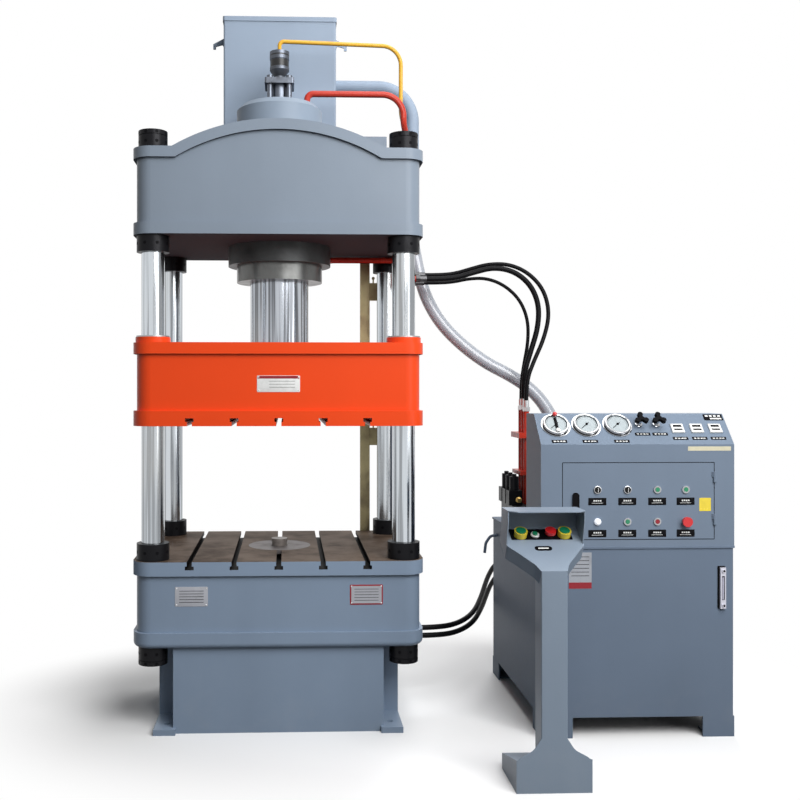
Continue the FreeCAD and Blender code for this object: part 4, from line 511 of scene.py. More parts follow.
@dataclass(frozen=True)
class Moulding(Finish):
    """Moulded plastic or rubber with fine grain."""

    colour: Colour
    gloss: float = 0.4
    grain: float = 0.00006
    coat: float = 0.0
    shine: float = 0.35

    def sockets(self, graph: Graph) -> Sockets:
        """Softly clouded colour with grain.

        Args:
            graph: Graph of the material.

        Returns:
            What feeds each socket.
        """
        cloud = graph.noise(40.0, 4.0)
        return {
            "Base Color": graph.tones(cloud, self.colour, 0.82, 1.08),
            "Roughness": self.gloss + (cloud - 0.5) * 0.12, "Specular IOR Level": self.shine,
            "Coat Weight": self.coat, "Normal": graph.bump(graph.noise(1400.0, 2.0), self.grain),
        }


@dataclass(frozen=True)
class TableFinish(Finish):
    """Machined table under preserving oil, with slots darkened as painted shade and painted outer walls."""

    steel: Colour
    oil: Colour
    paint: Colour
    # near-black painted shade for every face that is neither top nor outer wall
    slot: Colour = (0.006, 0.005, 0.005)
    core: Pair = (0.545, 0.352)
    corner: float = 0.083
    top: float = 0.740
    relief: float = 0.00008

    def sockets(self, graph: Graph) -> Sockets:
        """Oily steel on top, paint on the walls, painted shade in the slots.

        Args:
            graph: Graph of the material.

        Returns:
            What feeds each socket.
        """
        beside = (graph.axis("X").size() - self.core[0]).at_least(0.0)
        before = (graph.axis("Y").size() - self.core[1]).at_least(0.0)
        reach = (beside * beside + before * before) ** 0.5
        upright = 1.0 - graph.facing("Z").size().step(0.4, 0.6)
        wall = reach.step(self.corner - 0.0008, self.corner - 0.0002) * upright
        cloud = graph.noise(5.0, 6.0)
        cut = graph.noise(30.0, 3.0, (1.0, 30.0, 1.0))
        steel = graph.tones(cut, self.steel, 0.75)
        oiled = graph.mix((cloud * 0.7 + graph.noise(16.0) * 0.3).step(0.38, 0.68), steel, self.oil)
        top = graph.facing("Z").step(0.5, 0.9) * graph.axis("Z").step(self.top - 0.030, self.top - 0.010)
        # painted shade: faces neither on top nor outer walls, the slots' insides among them, take the slot colour
        bare = top.at_least(wall)
        return {
            "Base Color": graph.mix(wall, graph.mix(bare, self.slot, oiled), self.paint),
            "Roughness": 0.44 + cloud * 0.16, "Metallic": (bare - wall) * 0.10, "Specular IOR Level": 0.06,
            "Normal": graph.bump(cut + graph.noise(300.0, 2.0) * 0.4, self.relief),
        }


@dataclass(frozen=True)
class FittingFinish(Finish):
    """Hose fittings: blackened at the press, zinc-plated at the power unit."""

    zinc: Colour
    dark: Colour
    change_x: float
    change_width: float = 0.01
    grain: float = 0.00005

    def sockets(self, graph: Graph) -> Sockets:
        """Dark plating on one side of the change, zinc on the other.

        Args:
            graph: Graph of the material.

        Returns:
            What feeds each socket.
        """
        plated = graph.axis("X").step(self.change_x, self.change_x + self.change_width)
        cloud = graph.noise(60.0, 4.0)
        dark = graph.tones(cloud, self.dark, 1.0, 1.8)
        zinc = graph.tones(cloud, self.zinc, 0.8)
        return {
            "Base Color": graph.mix(plated, dark, zinc), "Roughness": 0.24 + cloud * 0.15, "Metallic": 1.0,
            "Normal": graph.bump(graph.noise(700.0, 2.0), self.grain),
        }


@dataclass(frozen=True)
class ClearHose(Finish):
    """Clear hose wall with braid inside and a haze of oil."""

    colour: Colour = (0.36, 0.385, 0.43)
    braid: float = 420.0
    relief: float = 0.0001

    def sockets(self, graph: Graph) -> Sockets:
        """Hazy wall over its braid.

        Args:
            graph: Graph of the material.

        Returns:
            What feeds each socket.
        """
        haze = graph.noise(18.0, 5.0)
        weave = graph.cells(self.braid, (1.0, 1.0, 0.6))
        tint = graph.tones(haze * 0.7 + weave * 0.35, self.colour, 0.72, 1.25)
        return {
            "Base Color": tint, "Roughness": 0.20 + haze * 0.14, "Coat Weight": 0.5, "Coat Roughness": 0.08,
            "Transmission Weight": 0.12, "Normal": graph.bump(weave, self.relief),
        }


@dataclass(frozen=True)
class Glow(Finish):
    """Lit lamp lens."""

    colour: Colour
    strength: float
    facets: float = 900.0
    facet_depth: float = 0.0002

    def sockets(self, graph: Graph) -> Sockets:
        """Faceted lens that shines.

        Args:
            graph: Graph of the material.

        Returns:
            What feeds each socket.
        """
        facets = graph.cells(self.facets)
        tint = graph.tones(facets, self.colour, 1.0, 0.8)
        return {
            "Base Color": tint, "Roughness": 0.2, "Emission Color": tint, "Emission Strength": self.strength,
            "Normal": graph.bump(facets, self.facet_depth),
        }


BED_BLUE = (0.237, 0.308, 0.412)
ZINC_GREY = (0.55, 0.56, 0.57)


class Paint(Enum):
    """Finishes of the press by name."""

    CROWN = Enamel((0.218, 0.262, 0.320), dust=0.06)
    BED = Enamel(BED_BLUE, dust=0.06)
    BOX = Enamel((0.178, 0.226, 0.296), gloss=0.40, shine=0.07, coat=0.0)
    # painted shade: the box's paint made darker for the lower cabinet, its cover and the pump motor, where less light
    # falls
    CABINET = Enamel((0.150, 0.194, 0.262), gloss=0.42, shine=0.07, coat=0.0)
    TANK = Enamel((0.300, 0.367, 0.462), gloss=0.40, dust=0.06, shine=0.08, coat=0.0)
    STAND = Enamel((0.225, 0.280, 0.352))
    SLIDE = Enamel((0.81, 0.066, 0.010), gloss=0.34, mottling=0.05, dust=0.03)
    YELLOW = Enamel((0.72, 0.40, 0.04), gloss=0.28)
    RED = Enamel((0.50, 0.040, 0.022), gloss=0.28)
    CYLINDER = CylinderPaint((0.245, 0.300, 0.372), (0.055, 0.057, 0.058), 2.14)
    COLUMN = Chromed((0.62, 0.66, 0.70))
    RAM = Chromed((0.50, 0.53, 0.58), gloss=0.12, streaks=70.0, streak_and_reflection_shade=0.30)
    BRIGHT = Chromed((0.46, 0.47, 0.49), gloss=0.07, haze=0.05, marks=3000.0, streak_and_reflection_shade=0.9)
    TABLE = TableFinish((0.150, 0.108, 0.080), (0.040, 0.024, 0.015), BED_BLUE)
    DARK_STEEL = Steel((0.13, 0.145, 0.175), (0.035, 0.037, 0.042), gloss=0.30, stained=0.6)
    FITTING = FittingFinish(ZINC_GREY, (0.05, 0.05, 0.052), 0.79)
    FOIL = Steel((0.40, 0.41, 0.45), (0.28, 0.29, 0.31), gloss=0.36, stained=0.3, metal=0.4)
    MACHINED = Steel((0.42, 0.42, 0.42), (0.20, 0.18, 0.16), gloss=0.28, stained=0.3)
    BLACKENED = Steel((0.011, 0.011, 0.013), (0.006, 0.006, 0.007), gloss=0.30, stained=0.4, metal=0.3,
                      shine=0.12)
    WORN = Steel((0.24, 0.215, 0.20), (0.11, 0.09, 0.075), gloss=0.34, metal=0.5)
    RING = Steel((0.17, 0.155, 0.155), (0.10, 0.085, 0.08), gloss=0.38, metal=0.3, shine=0.15)
    SILVER = Steel((0.66, 0.66, 0.74), (0.50, 0.50, 0.56), gloss=0.30, stained=0.2, metal=0.4)
    GLAND = Steel((0.145, 0.148, 0.145), (0.05, 0.048, 0.045), gloss=0.24, metal=0.9)
    ZINC = Steel(ZINC_GREY, (0.33, 0.31, 0.27), gloss=0.26, stained=0.25)
    PASSIVATED = Steel((0.42, 0.36, 0.20), (0.22, 0.18, 0.10), metal=0.8)
    BRASS = Steel((0.62, 0.42, 0.14), (0.28, 0.19, 0.08), gloss=0.25, stained=0.3)
    SHEET = Steel((0.36, 0.38, 0.42), (0.22, 0.23, 0.25), gloss=0.40, stained=0.3, metal=0.3)
    BLACK = Moulding((0.012, 0.012, 0.013), gloss=0.34)
    RUBBER = Moulding((0.005, 0.005, 0.006), gloss=0.38, grain=0.00012, shine=0.07)
    INK = Moulding((0.004, 0.004, 0.005), gloss=0.50, shine=0.05)
    DIAL = Moulding((0.38, 0.43, 0.45), gloss=0.20, shine=0.2)
    DARK_RED = Moulding((0.28, 0.018, 0.028), gloss=0.30)
    WHITE = Moulding((0.74, 0.75, 0.74), gloss=0.28)
    GLASS = Moulding((0.40, 0.40, 0.50), gloss=0.12, coat=0.5)
    GREEN = Moulding((0.012, 0.235, 0.105), gloss=0.22, coat=0.6)
    CAP_RED = Moulding((0.62, 0.018, 0.022), gloss=0.22, coat=0.6)
    CAP_YELLOW = Moulding((0.80, 0.62, 0.045), gloss=0.26, coat=0.4)
    CREAM = Moulding((0.62, 0.58, 0.42), gloss=0.55)
    LENS = Glow((0.90, 0.93, 1.0), 0.35)
    HOSE = ClearHose()

    def of(self) -> bpy.types.Material:
        """The finish's material, built once."""
        name = self.name.lower()
        return bpy.data.materials.get(name) or self.value.material(name)


SLOTS: dict[Paint, str] = {
    Paint.INK: "black_plastic", Paint.WHITE: "white_plastic", Paint.DIAL: "white_plastic",
    Paint.GLASS: "white_plastic", Paint.DARK_RED: "red_plastic", Paint.CAP_RED: "red_plastic",
    Paint.GREEN: "green_plastic", Paint.CAP_YELLOW: "yellow_plastic", Paint.FOIL: "zinc_steel",
    Paint.ZINC: "zinc_steel", Paint.SHEET: "zinc_steel", Paint.BRIGHT: "bright_chrome",
    Paint.BRASS: "machined_steel", Paint.CREAM: "unit_paint", Paint.HOSE: "hose_clear",
    Paint.RUBBER: "hose_black",
}


class Body(Enum):
    """Bodies of the frame that new pieces ride on."""

    FRAME = "frame"
    SLIDE = "slide"
    DOOR = "door"
    LEFT_SELECTOR = "left_selector"
    RIGHT_SELECTOR = "right_selector"
    STAND_START = "stand_start"


@dataclass(frozen=True)
class Seat:
    """A place on a face: its middle, its outward direction and the direction up along it."""

    middle: Vector
    outward: Vector
    upward: Vector

    def matrix(self) -> Matrix:
        """Matrix from sideways, upward and outward coordinates to the frame."""
        rows = zip(self.upward.cross(self.outward), self.upward, self.outward, self.middle)
        return Matrix([list(row) for row in rows] + [[0.0, 0.0, 0.0, 1.0]])

    def moved(self, side: float = 0.0, up: float = 0.0, out: float = 0.0) -> "Seat":
        """A seat that many metres sideways, upward along the face and outward."""
        return Seat(self.matrix() @ Vector((side, up, out)), self.outward, self.upward)

    def turned(self, angle: float, radius: float) -> "Seat":
        """Seat on a circle about this one, its upward direction pointing away from the middle.

        Args:
            angle: Radians from the right.
            radius: Metres from the middle.

        Returns:
            The seat.
        """
        side = self.upward.cross(self.outward)
        away = side * math.cos(angle) + self.upward * math.sin(angle)
        return Seat(self.middle + away * radius, self.outward, away)


@dataclass(frozen=True)
class Turning:
    """Solid of revolution: radius and height pairs from the foot to the top, and steps round the axis."""

    profile: Profile
    steps: int = 48


@dataclass(frozen=True)
class Plate:
    """Rectangular plate: its width and height, thickness, corner radius and front bevel."""

    size: Pair
    thickness: float = PROUD
    corner: float = 0.0
    bevel: float = 0.0


@dataclass(frozen=True)
class Lines:
    """Printed lines: how many, metres from one to the next, and one line's sizes."""

    rows: int
    pitch: float
    line: Plate


def rounded_outline(width: float, height: float, corner: float, steps: int = 5) -> list[Pair]:
    """Rectangle with rounded corners about the origin.

    Args:
        width: Metres sideways.
        height: Metres upward.
        corner: Radius of the corners, or 0 for sharp ones.
        steps: Points on each round corner.

    Returns:
        Sideways and upward pairs, turning left.
    """
    outline = []
    steps = steps if corner > 0.0 else 1
    for sx, sy, start in ((1, -1, -90), (1, 1, 0), (-1, 1, 90), (-1, -1, 180)):
        for k in range(steps):
            angle = math.radians(start + 90 * k / max(1, steps - 1))
            x = sx * (width / 2 - corner) + corner * math.cos(angle)
            outline.append((x, sy * (height / 2 - corner) + corner * math.sin(angle)))
    return outline


class Shape:
    """Mesh under construction, in metres, in a seat's own coordinates."""

    def __init__(self) -> None:
        """Start with nothing."""
        self.mesh = bmesh.new()

    def turned(self, seat: Seat, turning: Turning) -> "Shape":
        """Add a solid of revolution about the seat's outward line.

        Args:
            seat: Where it sits.
            turning: Its profile and steps.

        Returns:
            The shape itself.
        """
        turn = 2 * math.pi / turning.steps
        rings = [
            [self.mesh.verts.new((radius * math.cos(turn * k), radius * math.sin(turn * k), height))
             for k in range(turning.steps if radius > 0.0 else 1)]
            for radius, height in turning.profile
        ]
        for low, high in zip(rings, rings[1:]):
            for k in range(turning.steps):
                below = (low[k % len(low)], low[(k + 1) % len(low)])
                above = (high[(k + 1) % len(high)], high[k % len(high)])
                once = list(dict.fromkeys(below + above))
                if len(once) > 2:
                    self.mesh.faces.new(once)
        bmesh.ops.transform(self.mesh, matrix=seat.matrix(), verts=[v for ring in rings for v in ring])
        return self

    def plate(self, seat: Seat, plate: Plate) -> "Shape":
        """Add a rectangular plate.

        Args:
            seat: Middle of its back face.
            plate: Its sizes.

        Returns:
            The shape itself.
        """
        corners = [self.mesh.verts.new((x, y, 0.0)) for x, y in rounded_outline(*plate.size, plate.corner)]
        face = self.mesh.faces.new(corners)
        grown = bmesh.ops.extrude_face_region(self.mesh, geom=[face])["geom"]
        raised = [v for v in grown if isinstance(v, bmesh.types.BMVert)]
        bmesh.ops.translate(self.mesh, verts=raised, vec=(0.0, 0.0, plate.thickness))
        made = corners + raised
        if plate.bevel > 0.0:
            rim = {e for v in raised for e in v.link_edges if all(w in raised for w in e.verts)}
            cut = bmesh.ops.bevel(self.mesh, geom=list(rim), offset=plate.bevel, segments=2, affect="EDGES",
                                  profile=0.5, clamp_overlap=True)
            made = list({v for v in corners + cut["verts"] + raised if v.is_valid})
        bmesh.ops.transform(self.mesh, matrix=seat.matrix(), verts=made)
        return self

    def dashes(self, seat: Seat, offsets: Sequence[float], dash: Plate) -> "Shape":
        """Add printed dashes beside each other.

        Args:
            seat: Middle of the row.
            offsets: Sideways places of the dashes.
            dash: Sizes of each.

        Returns:
            The shape itself.
        """
        for offset in offsets:
            self.plate(seat.moved(side=offset), dash)
        return self

    def lines(self, seat: Seat, lines: Lines) -> "Shape":
        """Add printed lines, one under the other.

        Args:
            seat: Middle of the first.
            lines: Their number, pitch and sizes.

        Returns:
            The shape itself.
        """
        for row in range(lines.rows):
            self.plate(seat.moved(up=-lines.pitch * row), lines.line)
        return self

    def finish(self, name: str, paint: Paint, body: Body = Body.FRAME, slot: str = "") -> None:
        """Turn the mesh into a piece that rides on a body.

        Args:
            name: The piece's name.
            paint: Its finish.
            body: Body that it rides on.
            slot: The record's slot, where it isn't the finish's usual one.
        """
        bmesh.ops.recalc_face_normals(self.mesh, faces=self.mesh.faces)
        data = bpy.data.meshes.new(name)
        self.mesh.to_mesh(data)
        self.mesh.free()
        data.shade_smooth()
        data.set_sharp_from_angle(angle=math.radians(35))
        seated(bpy.data.objects.new(name, data), paint, body, slot)


def seated(piece: bpy.types.Object, paint: Paint, body: Body = Body.FRAME, slot: str = "") -> None:
    """Link a new piece, paint it and let it ride on its body.

    Args:
        piece: The piece.
        paint: Its finish.
        body: Body that it rides on.
        slot: The record's slot, where it isn't the finish's usual one.
    """
    bpy.context.scene.collection.objects.link(piece)
    piece.data.materials.append(paint.of())
    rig.ride(piece, body.value)
    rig.slot(piece, slot or SLOTS[paint])
    log.info("%s rides on %s", piece.name, body.value)


def round_line(name: str, kind: str, places: Sequence[Point], diameter: float,
               roundness: int) -> bpy.types.Object:
    """Round bar or hose along one spline.

    Args:
        name: The piece's name.
        kind: Blender's type name of the spline.
        places: Its points in metres.
        diameter: Its thickness.
        roundness: Blender's steps on a quarter of its section.

    Returns:
        The piece, not yet linked.
    """
    curve = bpy.data.curves.new(name, "CURVE")
    curve.dimensions = "3D"
    curve.bevel_depth = diameter / 2
    curve.bevel_resolution = roundness
    spline = curve.splines.new(kind)
    spline.points.add(len(places) - 1)
    for knot, place in zip(spline.points, places):
        knot.co = (*place, 1.0)
    return bpy.data.objects.new(name, curve)


@dataclass
class CadFinishes:
    """Finishes of the CAD nodes that stay as they are."""

    table: dict[Paint, tuple[str, ...]] = field(default_factory=lambda: {
        Paint.CROWN: ("crown", "filling_pipe"),
        Paint.BED: ("base_plinth", "bed", "ejector_cylinder"),
        Paint.TANK: ("filling_tank", "tank_lid"),
        Paint.STAND: ("control_stand",),
        Paint.BOX: ("panel_box", "cabinet_door"),
        Paint.CABINET: ("oil_tank", "oil_tank_cover", "pump_motor"),
        Paint.SLIDE: ("slide_block", "slide_plate"),
        Paint.YELLOW: ("pilot_pipe",),
        Paint.RED: ("pressure_pipe", "return_pipe", "riser_pipes"),
        Paint.CYLINDER: ("main_cylinder",),
        Paint.COLUMN: ("columns",),
        Paint.RAM: ("ram",),
        Paint.BRIGHT: ("pressure_gauges", "door_bezels"),
        Paint.TABLE: ("table_plate",),
        Paint.MACHINED: ("slide_bushes",),
        Paint.WORN: ("ejector_rod",),
        Paint.RING: ("ejector_ring",),
        Paint.SILVER: ("level_gauge",),
        Paint.DARK_STEEL: ("prefill_valve", "pilot_valve"),
        Paint.GLAND: ("cylinder_gland",),
        Paint.FITTING: ("hose_fittings",),
        Paint.PASSIVATED: ("switch_rail",),
        Paint.BLACKENED: ("valve_block", "column_nuts"),
        Paint.BLACK: ("control_gear", "selector_left", "selector_right"),
        Paint.INK: ("door_handle", "valve_knob_left", "valve_knob_right"),
        Paint.WHITE: ("panel_fittings",),
        Paint.GREEN: ("green_button_upper_left", "green_button_upper_right", "green_button_lower",
                      "palm_button_left", "palm_button_right", "stand_start_button"),
        Paint.CAP_RED: ("panel_stop_button", "stand_stop_button"),
        Paint.DARK_RED: ("red_button",),
        Paint.CAP_YELLOW: ("stand_collars",),
        Paint.LENS: ("signal_lamp",),
    })

    def build(self) -> None:
        """Give each node its finish."""
        for paint, names in self.table.items():
            for name in names:
                node = frame["nodes"][name]
                for holder in node.material_slots:
                    holder.material = paint.of()
                if not node.material_slots:
                    node.data.materials.append(paint.of())
                log.info("%s wears %s", name, paint.name)


@dataclass(frozen=True)
class HoseRun:
    """One hose: its CAD node, diameter, length, finish and route in metres."""

    node: str
    diameter: float
    length: float
    paint: Paint
    route: tuple[Point, ...]
    roundness: int = 8
    steps: int = 24

    def build(self) -> None:
        hose = round_line(self.node + "_run", "NURBS", self.route, self.diameter, self.roundness)
        hose.data.resolution_u = self.steps
        hose.data.use_fill_caps = True
        spline = hose.data.splines[0]
        spline.order_u = 3
        spline.use_endpoint_u = True
        seated(hose, self.paint)
        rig.replaces(hose, self.node)
        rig.cord(hose, exit=self.route[0], length=self.length, diameter=self.diameter, far_end="object",
                stiffness="stiff", lay="hanging")


@dataclass
class Hoses:
    """All free hoses between the press and the power unit."""

    runs: tuple[HoseRun, ...] = (
        HoseRun("clear_hose", 0.064, 1.709, Paint.HOSE, (
            (0.686, 0.415, 2.330), (0.686, 0.415, 2.240), (0.700, 0.399, 2.150), (0.721, 0.378, 2.033),
            (0.753, 0.360, 1.926), (0.820, 0.338, 1.805), (0.920, 0.314, 1.699), (1.036, 0.292, 1.608),
            (1.154, 0.270, 1.546), (1.229, 0.252, 1.496), (1.291, 0.240, 1.439), (1.339, 0.228, 1.370),
            (1.371, 0.217, 1.293), (1.385, 0.206, 1.210), (1.386, 0.196, 1.120), (1.380, 0.186, 1.026),
            (1.380, 0.186, 0.918),
        )),
        HoseRun("pilot_hose", 0.020, 1.204, Paint.RUBBER, (
            (0.720, 0.215, 2.040), (0.796, 0.215, 2.040), (0.872, 0.209, 2.047), (0.950, 0.197, 2.070),
            (1.034, 0.184, 2.092), (1.134, 0.170, 2.090), (1.226, 0.150, 2.044), (1.296, 0.130, 1.958),
            (1.318, 0.112, 1.840), (1.284, 0.092, 1.716), (1.228, 0.074, 1.604), (1.190, 0.060, 1.510),
            (1.190, 0.060, 1.418),
        )),
        HoseRun("pressure_hose", 0.026, 1.119, Paint.RUBBER, (
            (0.720, 0.160, 2.014), (0.796, 0.160, 2.014), (0.874, 0.160, 2.022), (0.958, 0.158, 2.048),
            (1.050, 0.154, 2.072), (1.150, 0.150, 2.054), (1.230, 0.144, 1.990), (1.272, 0.138, 1.892),
            (1.266, 0.130, 1.776), (1.228, 0.122, 1.660), (1.190, 0.112, 1.545), (1.190, 0.112, 1.426),
        )),
        HoseRun("return_hose", 0.017, 1.022, Paint.RUBBER, (
            (0.720, 0.250, 2.004), (0.794, 0.250, 2.004), (0.868, 0.248, 2.009), (0.946, 0.243, 2.026),
            (1.034, 0.236, 2.028), (1.122, 0.226, 1.992), (1.196, 0.214, 1.920), (1.234, 0.202, 1.820),
            (1.232, 0.190, 1.706), (1.206, 0.176, 1.590), (1.190, 0.164, 1.500), (1.190, 0.164, 1.422),
        )),
        HoseRun("lower_hose_upper", 0.025, 1.449, Paint.RUBBER, (
            (0.611, 0.0, 0.341), (0.745, 0.0, 0.341), (0.864, 0.086, 0.338), (0.966, 0.226, 0.354),
            (1.040, 0.400, 0.396), (1.078, 0.500, 0.430), (1.124, 0.610, 0.470), (1.182, 0.704, 0.512),
            (1.286, 0.742, 0.548), (1.392, 0.712, 0.576), (1.450, 0.606, 0.596), (1.450, 0.494, 0.596),
        )),
        HoseRun("lower_hose_lower", 0.025, 1.457, Paint.RUBBER, (
            (0.611, 0.0, 0.304), (0.743, 0.0, 0.304), (0.858, 0.080, 0.298), (0.964, 0.222, 0.308),
            (1.044, 0.398, 0.344), (1.086, 0.506, 0.374), (1.136, 0.622, 0.412), (1.198, 0.716, 0.452),
            (1.302, 0.752, 0.490), (1.402, 0.714, 0.520), (1.450, 0.604, 0.540), (1.450, 0.494, 0.540),
        )),
    )

    def build(self) -> None:
        """Make every hose."""
        for run in self.runs:
            run.build()


@dataclass(frozen=True)
class Faces:
    """Faces of the CAD that marks are set on."""

    front_wall: float = -0.420
    unit_front: float = -0.520
    slope_foot: Point = (0.0, -0.520, 1.240)
    slope_rise: Pair = (0.115, 0.126)
    stand_foot: Point = (1.011, -1.055, 0.811)
    stand_rise: Pair = (0.215, 0.130)

    def wall(self, x: float, z: float) -> Seat:
        """Seat on the front walls of crown, slide and bed."""
        return Seat(Vector((x, self.front_wall, z)), FRONT, UP)

    def unit(self, x: float, z: float) -> Seat:
        """Seat on the front of the power unit."""
        return Seat(Vector((x, self.unit_front, z)), FRONT, UP)

    def slope(self, x: float, place: float) -> Seat:
        """Seat on the sloping panel, place running from 0 at its foot to 1."""
        return self._leaning(self.slope_foot, self.slope_rise, x, place)

    def stand(self, offset: float, place: float) -> Seat:
        """Seat on the stand's control face, offset from its middle."""
        return self._leaning(self.stand_foot, self.stand_rise, offset, place)

    @staticmethod
    def _leaning(foot: Point, rise: Pair, x: float, place: float) -> Seat:
        """Seat on a face that leans back.

        Args:
            foot: Middle of its lower edge.
            rise: Metres that it goes back and up.
            x: Metres sideways from the foot.
            place: Share of the way up.

        Returns:
            The seat.
        """
        along = Vector((0.0, *rise))
        upward = along.normalized()
        middle = Vector(foot) + RIGHT * x + along * place
        return Seat(middle, RIGHT.cross(upward), upward)


FACES = Faces()


@dataclass
class PressMarks:
    """Plates, painted shade of the nut holes, valve bands and wires of the press."""

    sheet: float = 0.0012
    slide_place: Pair = (-0.001, 1.497)
    slide_plate: Plate = Plate((0.184, 0.071), sheet, 0.004, 0.0003)
    head_place: Pair = (-0.001, 1.525)
    head: Plate = Plate((0.178, 0.012))
    slide_lines_place: Pair = (0.014, 1.508)
    slide_lines: Lines = Lines(3, 0.013, Plate((0.11, 0.0014)))
    bed_places: tuple[Pair, Pair] = ((-0.372, 0.589), (0.376, 0.592))
    bed_left: Plate = Plate((0.140, 0.084), sheet, 0.004, 0.0003)
    bed_right: Plate = Plate((0.142, 0.086), sheet, 0.004, 0.0003)
    bed_inner: Plate = Plate((0.130, 0.074), corner=0.002)
    bed_lines: Lines = Lines(5, 0.012, Plate((0.104, 0.0018)))
    bed_lines_up: float = 0.024
    rivet: Turning = Turning(((0.0032, 0.0), (0.0030, 0.0008), (0.0018, 0.0016), (0.0, 0.0019)), 16)
    rivet_inset: float = 0.007
    rivet_sink: float = 0.0001
    nut_radii: Pair = (0.070, 0.0625)
    nut_levels: tuple[tuple[float, int], ...] = (
        (0.774, 0), (2.100, 0), (2.536, 1), (2.576, 1), (0.340, 1), (0.300, 1),
    )
    column: Pair = (0.544, 0.353)
    holes_round: int = 8
    # painted shade: black disc standing in for a spanner hole
    hole_shade: Turning = Turning(((0.0072, -0.0006), (0.0070, 0.0004), (0.0058, 0.0004), (0.0, 0.0004)), 16)
    bands: tuple[Point, ...] = ((2.989, 0.0437, 0.032), (3.040, 0.0462, 0.006))
    band_depth: float = 0.001
    wire_x: float = 0.037
    wire_y: float = 0.415
    wire: Profile = ((-0.032, 3.315), (-0.032, 3.334), (-0.0265, 3.340), (0.0265, 3.340), (0.032, 3.334),
                     (0.032, 3.315))
    wire_diameter: float = 0.0072
    wire_roundness: int = 4

    def build(self) -> None:
        """Make every mark of the press."""
        self._slide_plate()
        self._bed_plates()
        self._nut_hole_shades()
        self._valve_bands()
        self._wires()

    def _riveted(self, name: str, seat: Seat, plate: Plate, paint: Paint, body: Body) -> None:
        """One plate with a rivet at each corner.

        Args:
            name: Its name.
            seat: Its middle on the wall.
            plate: Its sizes.
            paint: Its finish.
            body: Body that it rides on.
        """
        Shape().plate(seat, plate).finish(name, paint, body)
        rivets = Shape()
        side, up = (length / 2 - self.rivet_inset for length in plate.size)
        for sx in SIDES:
            for sy in SIDES:
                rivets.turned(seat.moved(sx * side, sy * up, self.sheet - self.rivet_sink), self.rivet)
        rivets.finish(name + "_rivets", Paint.ZINC, body)

    def _slide_plate(self) -> None:
        """Plain white plate on the slide with a red head and three lines."""
        place = FACES.wall(*self.slide_place)
        self._riveted("slide_plate_mark", place, self.slide_plate, Paint.WHITE, Body.SLIDE)
        head = Shape().plate(FACES.wall(*self.head_place).moved(out=self.sheet), self.head)
        head.finish("slide_plate_head", Paint.DARK_RED, Body.SLIDE)
        lines = Shape().lines(FACES.wall(*self.slide_lines_place).moved(out=self.sheet), self.slide_lines)
        lines.finish("slide_plate_lines", Paint.INK, Body.SLIDE)

    def _bed_plates(self) -> None:
        """Plain foil plates on the bed, the right one in a red edge."""
        left, right = (FACES.wall(*place) for place in self.bed_places)
        self._riveted("bed_plate_left", left, self.bed_left, Paint.FOIL, Body.FRAME)
        self._riveted("bed_plate_right", right, self.bed_right, Paint.DARK_RED, Body.FRAME)
        Shape().plate(right.moved(out=self.sheet), self.bed_inner).finish("bed_plate_inner", Paint.FOIL)
        rows = Shape()
        for seat in (left, right):
            rows.lines(seat.moved(up=self.bed_lines_up, out=self.sheet + PROUD), self.bed_lines)
        rows.finish("bed_plate_lines", Paint.INK)

    def _nut_hole_shades(self) -> None:
        """Black discs where the spanner holes sit round the column nuts: painted shade of the holes."""
        holes = Shape()
        for z, kind in self.nut_levels:
            for sx in SIDES:
                for sy in SIDES:
                    middle = Vector((sx * self.column[0], sy * self.column[1], z))
                    for k in range(self.holes_round):
                        angle = 2 * math.pi * (k + 0.5) / self.holes_round
                        outward = Vector((math.cos(angle), math.sin(angle), 0.0))
                        # painted shade: a black disc where each hole is
                        holes.turned(Seat(middle + outward * self.nut_radii[kind], outward, UP), self.hole_shade)
        holes.finish("nut_spanner_holes", Paint.INK, slot="black_steel")

    def _valve_bands(self) -> None:
        """Black bands round the pilot valve and under its cap."""
        bands = Shape()
        for z, radius, height in self.bands:
            inner = radius - self.band_depth
            band = Turning(((inner, 0.0), (radius, 0.0), (radius, height), (inner, height)))
            bands.turned(Seat(Vector((0.0, 0.0, z)), UP, BACK), band)
        bands.finish("pilot_valve_bands", Paint.BLACK, slot="machined_steel")

    def _wires(self) -> None:
        """Black sleeves on the lid's wire handles."""
        for name, side in zip(("left", "right"), SIDES):
            places = [(side * self.wire_x + x, self.wire_y, z) for x, z in self.wire]
            wire = round_line("lid_wire_" + name, "POLY", places, self.wire_diameter, self.wire_roundness)
            seated(wire, Paint.BLACK, slot="unit_paint")


